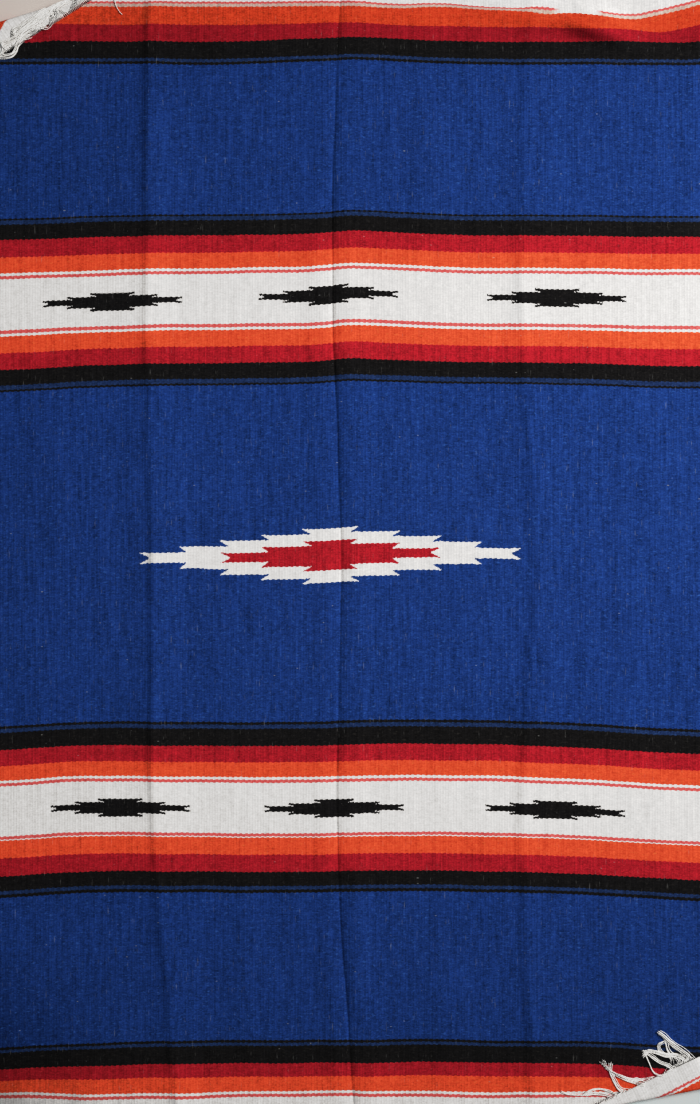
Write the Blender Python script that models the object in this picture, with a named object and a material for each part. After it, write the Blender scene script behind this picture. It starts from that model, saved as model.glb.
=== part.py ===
"""A handwoven serape laid out flat, with two of its corners turned over onto its face.

The web is woven in one breadth and lies face up on z = 0, its length along Y. Each piece is
first cut flat in cloth space, where u runs across the cloth, v along it towards the head and
t up from the reverse side. Then it is draped: the lay shifts it within the plane, creases and
a ripple lift it, and at a turned corner it rolls up and over onto the face. Units are metres.
"""

import math
import random
from typing import NamedTuple

import bmesh
import bpy
import numpy as np

# The cloth
WIDTH = 1.410  # selvedge to selvedge
LENGTH = 2.100  # woven end to woven end
WALL = 0.002  # weft-faced cloth over doubled warps

# How it rolls at a turned corner
OVER_TURN = math.radians(25)  # the roll turns this far past half a circle, then the flap settles
FLAP_GAP = 0.0005  # between the flap and the face that it rests on
PULLED_FLAT = 0.060  # the creases fade over this distance before a roll
ROLL_STEPS = 7
SETTLE_STEPS = 3

# Where the web is divided
CREASE_DIVISIONS = (0.012, 0.028, 0.048)  # from each crease, on both sides of it
LANE_DIVISIONS = (12, 6, 6, 15)  # in the plain cloth between those, in each lane
END_DIVISIONS = (0.016, 0.036, 0.060, 0.090, 0.130)  # from each woven end
LENGTH_DIVISIONS = 24  # in the rest of the length
WELD = 0.0006  # points of the flat cut nearer than this are one

# The fringe: each tassel is three locks that meet at a knot
TASSELS = 31  # at each end
FIRST_TASSEL = 0.0375  # from the selvedge to the first tassel's middle
STRIP_GAP = 0.0006  # from the woven end to the strip that the locks are rooted in
STRIP_DEPTH = 0.006
LOCK_SPREAD = 0.014  # from a tassel's middle to its outer roots
LOCK_WIDTH = 0.0030
LOCK_THICKNESS = 0.0017
LOCK_CLEAR = 0.0005  # a lock's underside over whatever it lies on
KNOT_SPREAD = 0.0034
KNOT_REACH = 0.054  # from the strip to the knot
TAIL_REACH = 0.030  # from the knot to the cut ends
TAIL_SPREAD = 0.005
LOOSE_LEAN = math.radians(9)  # how far a loose tassel leans, either way
LOOSE_TURN = 0.9  # a tassel rooted where the roll has turned less, in radians, stays loose
TUCK_RISE = 0.0028  # the middle of a lock that is laid back, above the flap
TUCK_BOW = 0.004  # how far its turn stands out past the strip
SEED = 7
UP = np.array([0.0, 0.0, 1.0])


class Lay(NamedTuple):
    """How far the weft stands from straight across, towards the head, at one place across."""

    across: float
    head_end: float
    head_pin: float
    head: float
    upper: float
    lower: float
    foot: float


LAY_STATIONS = (1.05, 1.015, 0.95, 0.48, -0.48, -0.95)  # along the cloth, in the order of Lay's columns
LAY = (
    Lay(-0.705, -0.0090, -0.0070, -0.0030, -0.0275, -0.0160, -0.0240),
    Lay(-0.625, -0.0080, -0.0063, -0.0020, -0.0235, -0.0120, -0.0210),
    Lay(-0.513, -0.0030, -0.0030, -0.0015, -0.0185, -0.0047, -0.0155),
    Lay(-0.364, -0.0030, -0.0030, -0.0030, -0.0118, -0.0025, -0.0090),
    Lay(-0.159, -0.0020, -0.0026, -0.0030, -0.0094, -0.0045, -0.0060),
    Lay(+0.019, -0.0010, -0.0004, +0.0070, -0.0036, -0.0044, -0.0053),
    Lay(+0.196, -0.0060, -0.0071, -0.0010, -0.0093, -0.0044, +0.0000),
    Lay(+0.290, -0.0140, -0.0170, -0.0020, -0.0110, -0.0052, -0.0010),
    Lay(+0.401, -0.0170, -0.0212, -0.0030, -0.0107, -0.0080, -0.0023),
    Lay(+0.569, -0.0180, -0.0235, -0.0040, -0.0137, -0.0171, -0.0100),
    Lay(+0.662, -0.0020, -0.0035, -0.0040, -0.0137, -0.0221, -0.0150),
    Lay(+0.705, +0.0060, +0.0100, -0.0030, -0.0133, -0.0240, -0.0170),
)


class Crease(NamedTuple):
    """A lengthwise crease left by folding: its places across, then its height and its width."""

    head: float
    upper: float
    middle: float
    lower: float
    foot: float
    height: float
    left_reach: float
    right_reach: float
    valley: bool


CREASE_STATIONS = (1.05, 0.50, 0.0, -0.50, -1.05)  # along the cloth, in the order of the columns
CREASES = (
    Crease(-0.3480, -0.3525, -0.3435, -0.3405, -0.3000, height=0.0046, left_reach=0.056,
           right_reach=0.080, valley=False),
    Crease(+0.0030, -0.0060, +0.0010, +0.0020, +0.0260, height=0.0028, left_reach=0.050,
           right_reach=0.070, valley=True),
    Crease(+0.3660, +0.3700, +0.3710, +0.3720, +0.3710, height=0.0024, left_reach=0.034,
           right_reach=0.095, valley=False),
)


class Ripple(NamedTuple):
    """A place where an end of the cloth lifts off the surface."""

    across: float
    half_width: float
    end: int
    inboard: float  # from the woven end to the ripple's crest
    half_depth: float
    height: float


RIPPLES = (
    Ripple(across=0.470, half_width=0.130, end=1, inboard=0.030, half_depth=0.060, height=0.014),
)


class Corner(NamedTuple):
    """A corner turned over along a straight fold, measured from where the corner lay flat."""

    side: int  # +1 at the right selvedge, -1 at the left
    end: int  # +1 at the head, -1 at the foot
    along_end: float
    along_side: float
    roll: float  # outer radius of the roll

    def outward(self):
        """The unit vector in the plane across the fold, towards the corner."""
        away = np.array([self.side * self.along_side, self.end * self.along_end])
        return away / np.linalg.norm(away)

    def past(self, x, y):
        """How far a point lies past the line where the roll leaves the surface."""
        fold = np.array([self.side * (WIDTH / 2 - self.along_end), self.end * LENGTH / 2])
        away = self.outward()
        return x * away[0] + y * away[1] - fold @ away + self.roll


HEAD_LEFT = Corner(side=-1, end=1, along_end=0.303, along_side=0.095, roll=0.0105)
FOOT_RIGHT = Corner(side=1, end=-1, along_end=0.255, along_side=0.0535, roll=0.0070)
CORNERS = (HEAD_LEFT, FOOT_RIGHT)


class Tassel(NamedTuple):
    """One knotted tassel: where it is rooted, which way it leans and how it lies."""

    across: float
    lean: float  # towards the selvedge that the corner is on
    knot: float  # from the strip to its knot
    tail: float  # from the knot to its cut ends
    tucked: bool  # laid back over the flap


# The tassels that turn with each corner, from the selvedge towards the fold's tip
FOOT_RIGHT_LEANS = tuple(math.radians(-lean) for lean in (6, 3, 36, 62, 45, 28))
HEAD_LEFT_TUCKED = 3
HEAD_LEFT_LEAN = math.radians(-70)  # of those nearer the tip, which lie along the edge


def smooth_curve(at, stations, values):
    """The values carried between their stations on a smooth curve through each of them."""
    stations = np.asarray(stations)
    values = np.asarray(values)
    slopes = np.gradient(values, stations)
    at = np.clip(at, stations[0], stations[-1])
    k = np.clip(np.searchsorted(stations, at, side="right") - 1, 0, len(stations) - 2)
    step = stations[k + 1] - stations[k]
    f = (at - stations[k]) / step
    return (
        values[k] * (1 + 2 * f) * (1 - f) ** 2
        + values[k + 1] * f**2 * (3 - 2 * f)
        + step * (slopes[k] * f * (1 - f) ** 2 - slopes[k + 1] * f**2 * (1 - f))
    )


def by_station(v, stations, columns):
    """Blends one column of values per station in proportion to where v lies between them."""
    order = np.argsort(stations)
    places = np.asarray(stations)[order]
    shares = np.eye(len(stations))
    return sum(np.interp(v, places, shares[k][order]) * columns[k] for k in range(len(stations)))


def lay(u, v):
    """How far the cloth at u, v is shifted towards the head."""
    across = [row.across for row in LAY]
    columns = [smooth_curve(u, across, [row[k] for row in LAY]) for k in range(1, 7)]
    return by_station(v, LAY_STATIONS, columns)


def crease_line(crease, v):
    return by_station(v, CREASE_STATIONS, crease[:5])


def bell(distance):
    """One at nought, falling smoothly to nought at one and beyond."""
    return np.cos(np.pi / 2 * np.clip(np.abs(distance), 0, 1)) ** 2


def relief(u, v):
    """How far the reverse side stands off the surface: ridges, the valley's banks, ripples.

    The cloth is pulled flat where a corner's roll begins.
    """
    height = np.zeros_like(u)
    for crease in CREASES:
        past = u - crease_line(crease, v)
        reach = np.where(past < 0, crease.left_reach, crease.right_reach)
        away = np.clip(np.abs(past) / reach, 0, 1)
        shape = np.sin(np.pi * away) if crease.valley else (1 - away) ** 1.6
        height += crease.height * shape
    for ripple in RIPPLES:
        inboard = LENGTH / 2 - ripple.end * v
        along = bell((inboard - ripple.inboard) / ripple.half_depth)
        height += ripple.height * bell((u - ripple.across) / ripple.half_width) * along
    for corner in CORNERS:
        height *= 1 - bell(np.minimum(corner.past(u, v), 0) / PULLED_FLAT)
    return height


def settle_radius(roll):
    """The radius on which the flap comes down from the top of its roll to where it rests."""
    rest = 2 * WALL + FLAP_GAP
    return (roll * (1 + math.cos(OVER_TURN)) - rest) / (1 - math.cos(OVER_TURN))


def roll_over(past, roll):
    """Where a point of the reverse side goes, this far past the start of a roll.

    It climbs an arc of the roll's radius, a little past half a circle, then settles on a wide
    arc bent the other way until it runs level, back over the face. Returns how far out it
    lies, how high, and how far the cloth has turned there.
    """
    wide = settle_radius(roll)
    most = math.pi + OVER_TURN
    climb = np.clip(past, 0, most * roll)
    settle = np.clip(past - most * roll, 0, OVER_TURN * wide)
    level = np.maximum(past - most * roll - OVER_TURN * wide, 0)
    climbed = climb / roll
    turn = climbed - settle / wide
    out = roll * np.sin(climbed) + wide * (np.sin(climbed) - np.sin(turn)) - level
    height = roll * (1 - np.cos(climbed)) + wide * (np.cos(turn) - np.cos(climbed))
    return out, height, turn


def drape(cloth, turns=CORNERS):
    """Takes points u, v, t of the flat cloth to where they lie.

    What has turned over follows the relief of the face that it lies on.
    """
    u, v, t = np.asarray(cloth).T
    x, y = u.copy(), v + lay(u, v)
    lift = relief(u, v) + t
    z = lift.copy()
    for corner in turns:
        past = corner.past(x, y)
        out, height, turn = roll_over(past, corner.roll)
        shift = np.where(past > 0, out - past - np.sin(turn) * lift, 0)
        away = corner.outward()
        x = x + shift * away[0]
        y = y + shift * away[1]
        beneath = relief(x, y) * (1 - np.cos(turn)) / 2
        z = np.where(past > 0, height + np.cos(turn) * lift + beneath, z)
    return np.column_stack([x, y, z])


def material(name, colour, roughness):
    made = bpy.data.materials.new(name)
    made.use_nodes = True
    shader = made.node_tree.nodes["Principled BSDF"]
    shader.inputs["Base Color"].default_value = (*colour, 1)
    shader.inputs["Roughness"].default_value = roughness
    shader.inputs["Metallic"].default_value = 0
    return made


def draped_object(name, bm, finish, unturned=()):
    """Drapes a closed flat cut, but for what doesn't turn with a corner, and finishes it."""
    bmesh.ops.triangulate(bm, faces=bm.faces)
    bmesh.ops.recalc_face_normals(bm, faces=bm.faces)
    flat = np.array([vertex.co for vertex in bm.verts])
    for vertex, turned, level in zip(bm.verts, drape(flat), drape(flat, turns=())):
        vertex.co = level if vertex in unturned else turned
    mesh = bpy.data.meshes.new(name)
    bm.to_mesh(mesh)
    bm.free()
    mesh.shade_smooth()
    mesh.set_sharp_from_angle(angle=math.radians(50))
    mesh.materials.append(finish)
    made = bpy.data.objects.new(name, mesh)
    bpy.context.scene.collection.objects.link(made)
    return made


def columns_at(v):
    """The places across where the web is divided, which follow the creases."""
    lines = [float(crease_line(crease, v)) for crease in CREASES]
    edges = [-WIDTH / 2, *lines, WIDTH / 2]
    places = [-WIDTH / 2]
    for left, right, divisions in zip(edges, edges[1:], LANE_DIVISIONS):
        starts_plain, ends_plain = left == edges[0], right == edges[-1]
        near = [] if starts_plain else [left + step for step in CREASE_DIVISIONS]
        far = [] if ends_plain else [right - step for step in reversed(CREASE_DIVISIONS)]
        low = near[-1] if near else left
        high = far[0] if far else right
        between = list(np.linspace(low, high, divisions + 1))[1:-1]
        places += [*near, *between, *far, right]
    return places


def rows():
    """The places along the cloth where the web is divided."""
    near = [LENGTH / 2 - step for step in (0, *END_DIVISIONS)]
    plain = list(np.linspace(-near[-1], near[-1], LENGTH_DIVISIONS + 1))[1:-1]
    return [-v for v in near] + plain + near[::-1]


def roll_lines(corner):
    """How far past the start of a roll the web is divided, so that it bends evenly."""
    most = (math.pi + OVER_TURN) * corner.roll
    settle = OVER_TURN * settle_radius(corner.roll)
    climbing = [most * k / ROLL_STEPS for k in range(ROLL_STEPS + 1)]
    return climbing + [most + settle * k / SETTLE_STEPS for k in range(1, SETTLE_STEPS + 1)]


def divide_for_rolls(bm):
    """Divides the flat cut along each line of each roll, where the laid cloth crosses it."""
    flat = {vertex: vertex.co.copy() for vertex in bm.verts}
    for vertex in bm.verts:
        vertex.co.y += float(lay(np.array([vertex.co.x]), np.array([vertex.co.y]))[0])
    for corner in CORNERS:
        away = corner.outward()
        for line in roll_lines(corner):
            start = -corner.past(0, 0) + line
            bmesh.ops.bisect_plane(
                bm,
                geom=[*bm.verts, *bm.edges, *bm.faces],
                dist=WELD,
                plane_co=(away[0] * start, away[1] * start, 0),
                plane_no=(*away, 0),
            )
    for vertex in bm.verts:
        if vertex in flat:
            vertex.co = flat[vertex]
        else:
            vertex.co.y = unlaid(vertex.co.x, vertex.co.y)


def unlaid(x, y):
    """The place along the flat cloth that the lay takes to y."""
    v = y
    for _ in range(6):
        v = y - float(lay(np.array([x]), np.array([v]))[0])
    return v


def web(finish):
    """The cloth itself, selvedge to selvedge and end to end."""
    bm = bmesh.new()
    grid = [[bm.verts.new((u, v, 0)) for u in columns_at(v)] for v in rows()]
    for low, high in zip(grid, grid[1:]):
        for corners in zip(low, low[1:], high[1:], high):
            bm.faces.new(corners)
    divide_for_rolls(bm)
    bmesh.ops.remove_doubles(bm, verts=bm.verts, dist=WELD)
    raised = bmesh.ops.extrude_face_region(bm, geom=bm.faces[:], use_keep_orig=True)
    for made in raised["geom"]:
        if isinstance(made, bmesh.types.BMVert):
            made.co.z = WALL
    return draped_object("web", bm, finish)


class Ring(NamedTuple):
    """A section of a lock: its middle, half its width, and half its thickness."""

    middle: np.ndarray
    across: np.ndarray
    up: np.ndarray

    def corners(self):
        low, high = self.middle - self.up, self.middle + self.up
        return low - self.across, low + self.across, high + self.across, high - self.across


def loose_lock(root, lane, tassel, corner):
    """The rings of a lock from its root to its knot and its cut end."""
    side, end = corner.side, corner.end
    ahead = np.array([side * math.sin(tassel.lean), end * math.cos(tassel.lean), 0])
    beside = np.array([math.cos(tassel.lean), -side * end * math.sin(tassel.lean), 0])
    middle = root - np.array([lane * LOCK_SPREAD, 0, 0])
    knotted = middle + ahead * tassel.knot + beside * lane * KNOT_SPREAD
    cut = knotted + ahead * tassel.tail + beside * lane * TAIL_SPREAD
    half, thick = beside * LOCK_WIDTH / 2, UP * LOCK_THICKNESS / 2
    rise = UP * (LOCK_CLEAR + LOCK_THICKNESS / 2)
    return [
        Ring(knotted + rise, half * 0.8, thick),
        Ring(cut + rise, half * 0.7, thick * 0.8),
    ]


def tucked_lock(root, lane, tassel, corner):
    """The rings of a lock that turns at the edge and is laid back over the flap."""
    out = np.array([0, corner.end, 0])
    middle = root + UP * WALL / 2
    half, thick = np.array([LOCK_WIDTH / 2, 0, 0]), LOCK_THICKNESS / 2
    over = -UP * (TUCK_RISE + WALL / 2)
    drift = np.array([lane * (KNOT_SPREAD - LOCK_SPREAD), 0, 0])
    slanted = thick / math.sqrt(2)
    return [
        Ring(middle + out * TUCK_BOW, half, slanted * (UP + out)),
        Ring(middle + out * TUCK_BOW + over, half, slanted * (out - UP)),
        Ring(middle - out * STRIP_DEPTH + over, half, -thick * UP),
        Ring(middle - out * tassel.knot + over + drift, half * 0.8, -thick * UP),
    ]


def tassels_of(corner):
    """One end's tassels from its turned corner inwards: those that turn with it, and the rest."""
    chance = random.Random(SEED + corner.end)
    pitch = (WIDTH - 2 * FIRST_TASSEL) / (TASSELS - 1)
    turned, loose = [], []
    for k in range(TASSELS):
        across = corner.side * (WIDTH / 2 - FIRST_TASSEL - k * pitch)
        knot = KNOT_REACH * chance.uniform(0.88, 1.08)
        tail = TAIL_REACH * chance.uniform(0.7, 1.1)
        lean = chance.uniform(-LOOSE_LEAN, LOOSE_LEAN)
        end = corner.end * LENGTH / 2
        past = corner.past(across, end + float(lay(np.array([across]), np.array([end]))[0]))
        if past < LOOSE_TURN * corner.roll:
            loose.append(Tassel(across, lean, knot, tail, tucked=False))
        elif corner is FOOT_RIGHT:
            turned.append(Tassel(across, FOOT_RIGHT_LEANS[k], knot, tail, tucked=False))
        elif k < HEAD_LEFT_TUCKED:
            flap = past - (math.pi + OVER_TURN) * corner.roll
            turned.append(Tassel(across, 0.0, min(knot, flap), tail, tucked=True))
        else:
            turned.append(Tassel(across, HEAD_LEFT_LEAN, knot, tail, tucked=False))
    return turned, loose


def fringe(name, corner, tassels, limits, loose, finish):
    """A strip along part of a woven end, with a lock rooted wherever a tassel spreads."""
    inner = corner.end * (LENGTH / 2 + STRIP_GAP)
    outer = inner + corner.end * STRIP_DEPTH
    bm = bmesh.new()

    def station(u):
        section = ((inner, 0), (inner, WALL), (outer, WALL), (outer, 0))
        return [bm.verts.new((u, v, t)) for v, t in section]

    def join(start, stop, sides):
        for k in sides:
            after = (k + 1) % 4
            bm.faces.new((start[k], start[after], stop[after], stop[k]))

    first = last = station(min(limits))
    locks = []
    for tassel in sorted(tassels):
        for lane in (-1, 0, 1):
            root = np.array([tassel.across + lane * LOCK_SPREAD, outer, 0])
            left, right = station(root[0] - LOCK_WIDTH / 2), station(root[0] + LOCK_WIDTH / 2)
            join(last, left, sides=(0, 1, 2, 3))
            join(left, right, sides=(0, 1, 3))
            lock = tucked_lock if tassel.tucked else loose_lock
            sections = lock(root, lane, tassel, corner)
            locks.append(((left[3], right[3], right[2], left[2]), sections))
            last = right
    closing = station(max(limits))
    join(last, closing, sides=(0, 1, 2, 3))
    bm.faces.new(first)
    bm.faces.new(closing[::-1])
    lock_points = set()
    for ring, sections in locks:
        for section in sections:
            fresh = [bm.verts.new(place) for place in section.corners()]
            lock_points.update(fresh)
            join(ring, fresh, sides=(0, 1, 2, 3))
            ring = fresh
        bm.faces.new(ring)
    return draped_object(name, bm, finish, unturned=lock_points if loose else ())


def fringes_of_end(end_name, corner, finish):
    """Both fringes of one end: the one that turns with the corner, and the rest of it."""
    turned, loose = tassels_of(corner)
    split = (turned[-1].across + loose[0].across) / 2
    outermost = corner.side * WIDTH / 2
    apart = corner.side * STRIP_GAP / 2
    inwards, outwards = (-outermost, split - apart), (outermost, split + apart)
    fringe(f"fringe_{end_name}", corner, loose, inwards, True, finish)
    fringe(f"fringe_{end_name}_turned", corner, turned, outwards, False, finish)


def main():
    for old in list(bpy.data.objects):
        bpy.data.objects.remove(old)
    wool = material("wool_blue", (0.016, 0.045, 0.190), roughness=0.92)
    cotton = material("cotton_warp", (0.740, 0.715, 0.650), roughness=0.95)
    web(wool)
    fringes_of_end("head", HEAD_LEFT, cotton)
    fringes_of_end("foot", FOOT_RIGHT, cotton)


main()
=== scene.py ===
"""A handwoven serape laid out flat, its weave, its woven figures and its knotted fringe.

Everything is first placed in cloth space, where u runs across the cloth, v along it towards
the head and t up from the reverse side. A drape then lays it down: the weft bows, storage
creases and ripples lift it, and two corners roll over onto the face. Units are metres.
"""

import logging
import math
import random
from dataclasses import dataclass, fields
from enum import Enum

import bpy
import numpy as np
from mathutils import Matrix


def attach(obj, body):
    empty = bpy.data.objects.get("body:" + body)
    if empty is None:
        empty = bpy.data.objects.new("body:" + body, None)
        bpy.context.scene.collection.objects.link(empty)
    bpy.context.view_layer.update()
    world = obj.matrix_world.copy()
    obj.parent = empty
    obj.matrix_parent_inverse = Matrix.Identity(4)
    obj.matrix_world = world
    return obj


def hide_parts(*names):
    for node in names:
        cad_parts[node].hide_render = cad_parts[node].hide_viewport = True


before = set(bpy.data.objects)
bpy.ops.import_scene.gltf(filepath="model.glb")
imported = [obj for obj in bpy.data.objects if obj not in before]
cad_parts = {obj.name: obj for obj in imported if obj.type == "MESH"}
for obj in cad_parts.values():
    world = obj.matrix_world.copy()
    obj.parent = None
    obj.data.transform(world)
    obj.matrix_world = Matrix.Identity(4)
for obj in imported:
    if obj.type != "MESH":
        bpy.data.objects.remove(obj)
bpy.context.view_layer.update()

Array = np.ndarray
log = logging.getLogger("serape")

WIDTH = 1.410  # selvedge to selvedge
LENGTH = 2.100  # woven end to woven end
WALL = 0.002  # weft-faced cloth over doubled warps
HEAD, FOOT = 1, -1
LEFT, RIGHT = -1, 1
MM = 0.001


# How the cloth lies


def smooth_curve(at: Array, stations: Array, values: Array) -> Array:
    """Carry values between their stations on a smooth curve through each of them.

    Each stretch is a cubic, whose slope at a station is that of the line through the
    stations on both sides of it.

    Args:
        at: The places to work out.
        stations: Where the values are known, rising.
        values: One value for each station.

    Returns:
        The values at those places.
    """
    stations = np.asarray(stations, float)
    values = np.asarray(values, float)
    slopes = np.gradient(values, stations)
    at = np.clip(at, stations[0], stations[-1])
    k = np.clip(np.searchsorted(stations, at, side="right") - 1, 0, len(stations) - 2)
    step = stations[k + 1] - stations[k]
    f = (at - stations[k]) / step
    return (
        values[k] * (1 + 2 * f) * (1 - f) ** 2
        + values[k + 1] * f**2 * (3 - 2 * f)
        + step * (slopes[k] * f * (1 - f) ** 2 - slopes[k + 1] * f**2 * (1 - f))
    )


def bell(distance: Array) -> Array:
    """Fall from one at nought to nought at one and beyond, as a squared cosine."""
    return np.cos(np.pi / 2 * np.clip(np.abs(distance), 0, 1)) ** 2


@dataclass(frozen=True)
class Lay:
    """How far the weft stands from straight across, towards the head, at one place across."""

    across: float
    head_end: float
    head_hem: float
    head_pin: float
    head_orange: float
    head: float
    upper: float
    middle: float
    lower: float
    foot: float
    foot_red: float
    foot_pin: float


@dataclass(frozen=True)
class Crease:
    """A lengthwise crease left by folding, and the cross section of the cloth at it.

    A ridge rises gently to its line from the left, climbs the last of it at a brink, and
    falls slowly away to the right. A valley runs between two banks, the left one the lower.
    Either has a narrow pinched groove on the line itself.
    """

    head: float
    upper: float
    middle: float
    lower: float
    foot: float
    height: float
    left_reach: float
    right_reach: float
    brink: float  # the share of a ridge's height that is climbed at the brink
    brink_reach: float
    valley: bool
    groove: float
    wander: float
    seed: int

    def line(self, v: Array) -> Array:
        """Where the crease lies at v: on a smooth curve, with a slow wander of its own.

        Args:
            v: The place along.

        Returns:
            Its place across.
        """
        places = (self.foot, self.lower, self.middle, self.upper, self.head)
        drift = np.sin(v * 23 + self.seed) + np.sin(v * 9.1 + 2.1 * self.seed)
        return smooth_curve(v, CREASE_STATIONS[::-1], places) + self.wander * drift / 2

    def strength(self, v: Array) -> Array:
        """How much of its height the crease has at v: uneven, between about 0.6 and 1."""
        return 0.80 + 0.13 * np.sin(v * 5.3 + 3 * self.seed) + 0.07 * np.sin(v * 17 + self.seed)

    def lift(self, u: Array, v: Array) -> Array:
        """The height at u, v.

        A ridge's left flank is the sum of two powers of the nearness to the line, one for
        the slow rise and one for the brink, and its right flank is a third. A valley's
        banks are sines, of a power of the distance on the right, where they start steeper.

        Args:
            u: The place across.
            v: The place along.

        Returns:
            How far the cloth stands off the surface.
        """
        past = u - self.line(v)
        left = np.clip(1 + past / self.left_reach, 0, 1)
        right = np.clip(past / self.right_reach, 0, 1)
        if self.valley:
            low, high = LOW_BANK * np.sin(np.pi * left), np.sin(np.pi * right**BANK_POWER)
            shape = np.where(past < 0, low, high)
        else:
            brink = np.clip(1 + past / self.brink_reach, 0, 1)
            climb = (1 - self.brink) * left**CLIMB_POWER + self.brink * brink**CLIMB_POWER
            shape = np.where(past < 0, climb, (1 - right) ** FALL_POWER)
        return self.height * self.strength(v) * shape

    def pinch(self, u: Array, v: Array) -> Array:
        """How much thinner the cloth is at u, v: a bell as wide as the fold's own nip."""
        return self.groove * self.strength(v) * bell((u - self.line(v)) / NIP)


@dataclass(frozen=True)
class Ripple:
    """A soft place where the cloth stands off the surface.

    It is a bell across and a bell along, so its height is the product of the two.
    """

    across: float
    along: float
    half_width: float
    half_length: float
    height: float
    turn: float = 0.0  # degrees, of its length away from the warp

    def lift(self, u: Array, v: Array) -> Array:
        """The height at u, v: one bell along the ripple times one across it.

        Args:
            u: The place across.
            v: The place along.

        Returns:
            How far the cloth stands off the surface.
        """
        turn = math.radians(self.turn)
        du, dv = u - self.across, v - self.along
        side = du * math.cos(turn) + dv * math.sin(turn)
        ahead = dv * math.cos(turn) - du * math.sin(turn)
        return self.height * bell(side / self.half_width) * bell(ahead / self.half_length)


@dataclass(frozen=True)
class Corner:
    """A corner turned over along a straight fold, measured from where the corner lay flat."""

    side: int
    end: int
    along_end: float
    along_side: float
    roll: float  # outer radius of the roll at the selvedge
    tight: float  # and where the fold starts, at the woven end

    def outward(self) -> Array:
        """The unit vector in the plane across the fold, towards the corner."""
        away = np.array([self.side * self.along_side, self.end * self.along_end])
        return away / np.linalg.norm(away)

    def radius(self, x: Array) -> Array:
        """The roll's radius at a place across, which widens evenly along the fold."""
        inward = abs(self.side * WIDTH / 2 - x) / self.along_end
        return self.roll + (self.tight - self.roll) * np.clip(inward, 0, 1)

    def past(self, x: Array, y: Array) -> Array:
        """How far a point lies past the line where the roll leaves the surface.

        Args:
            x: Its place across.
            y: Its place along.

        Returns:
            The distance, less than nought where the cloth still lies.
        """
        fold = np.array([self.side * (WIDTH / 2 - self.along_end), self.end * LENGTH / 2])
        away = self.outward()
        return x * away[0] + y * away[1] - fold @ away + self.radius(x)


NIP = 0.0035  # half the width of a fold's pinched line
LOW_BANK = 0.55  # the height of a valley's left bank, as a share of its right one's
BANK_POWER = 0.72  # under one, so that a valley's right bank starts steeply
CLIMB_POWER = 1.5  # how a ridge steepens towards its line
FALL_POWER = 1.6  # and levels out past it

# Along the cloth, in the order of Lay's columns.
LAY_STATIONS = (1.05, 1.026, 1.015, 0.984, 0.95, 0.48, -0.01, -0.48, -0.91, -0.965, -1.004)
LAY_MM = (
    (-705, -9, -7, -7, -5.1, -3, -27.5, -21.8, -16.6, -23.3, -18, -11.5),
    (-625, -8, -6.3, -6.3, -4.3, -2, -23.5, -17.8, -12.6, -20, -15.6, -8.5),
    (-560, -5, -4.6, -4.6, -3.1, -1.6, -20.8, -14.4, -8.3, -15.7, -13, -6.3),
    (-513, -3, -3, -3, -2.2, -1.5, -18.5, -11.6, -4.5, -12.8, -12.2, -10.3),
    (-364, -3, -2.6, -2.6, -3, -3, -12.8, -7.2, -3.1, -7.5, -7.4, -9.7),
    (-159, -2, -2, -2, -3, -2.4, -9.9, -5.7, -5.8, -4.4, -5.2, -6.7),
    (-24, -1.2, -1.9, -1.9, -0, 3.6, -6.4, -2.7, -5.7, -4, -4.4, -4.5),
    (+19, -1, -1.9, -1.9, 0.9, 5.5, -2.6, 0.3, -3.6, -3.9, -4.2, -3.8),
    (+110, -3, -6.7, -5.2, -3.4, 2.6, -4.4, 2.6, -2.9, -2.9, -2.7, -5.6),
    (+196, -1.5, -5.3, -2.3, -5.3, -1.2, -8.7, 3.1, -3.3, -2.4, -1.5, -6),
    (+290, -7.5, -14.5, -10.3, -8.4, -3.3, -11, 2.8, -4.2, -5.9, -3, -8.3),
    (+345, -10, -17.5, -14.2, -9.6, -3.1, -10.9, 1.2, -5.8, -5.3, -3, -7.4),
    (+390, -13, -15.5, -20.5, -10.5, -3, -10.7, 0.2, -7.1, -4.9, -3, -6.8),
    (+430, -14, -21.3, -18.7, -13, -3, -11.2, -1.9, -9, -5.6, -4, -6.6),
    (+475, -15, -22.1, -23.3, -17, -2.9, -12, -4.5, -11.5, -7.1, -5.5, -6.5),
    (+531, -17, -25.4, -26.8, -15, -3.6, -13.2, -8.2, -14.8, -9.8, -8.3, -8),
    (+569, -18, -24.1, -25.7, -16, -4, -13.7, -11, -16.6, -12, -10.5, -10),
    (+606, -12, -16.4, -18, -18, -4.1, -13.7, -13.9, -18.7, -14, -12.5, -12),
    (+662, -2, -1.9, -3.5, -7.2, -4.5, -13.7, -16.5, -21.6, -16.5, -15.5, -15),
    (+705, 6, 8, 8, 2.5, -2, -13.3, -17.9, -23.5, -18.5, -17.5, -17),
)
LAY = tuple(Lay(*(value * MM for value in row)) for row in LAY_MM)

CREASE_STATIONS = (1.05, 0.50, 0.0, -0.50, -1.05)  # along the cloth, in the order of the columns
CREASES = (
    Crease(-0.3445, -0.3515, -0.3405, -0.3375, -0.2925, height=0.0066, left_reach=0.060,
           right_reach=0.080, brink=0.46, brink_reach=0.012, valley=False, groove=0.0007,
           wander=0.0018, seed=1),
    Crease(+0.0090, -0.0060, +0.0115, +0.0035, +0.0350, height=0.0034, left_reach=0.050,
           right_reach=0.070, brink=0.0, brink_reach=0.010, valley=True, groove=0.0006,
           wander=0.0014, seed=2),
    Crease(+0.3640, +0.3460, +0.3740, +0.3510, +0.3710, height=0.0036, left_reach=0.034,
           right_reach=0.095, brink=0.80, brink_reach=0.020, valley=False, groove=0.0004,
           wander=0.0018, seed=4),
)

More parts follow.
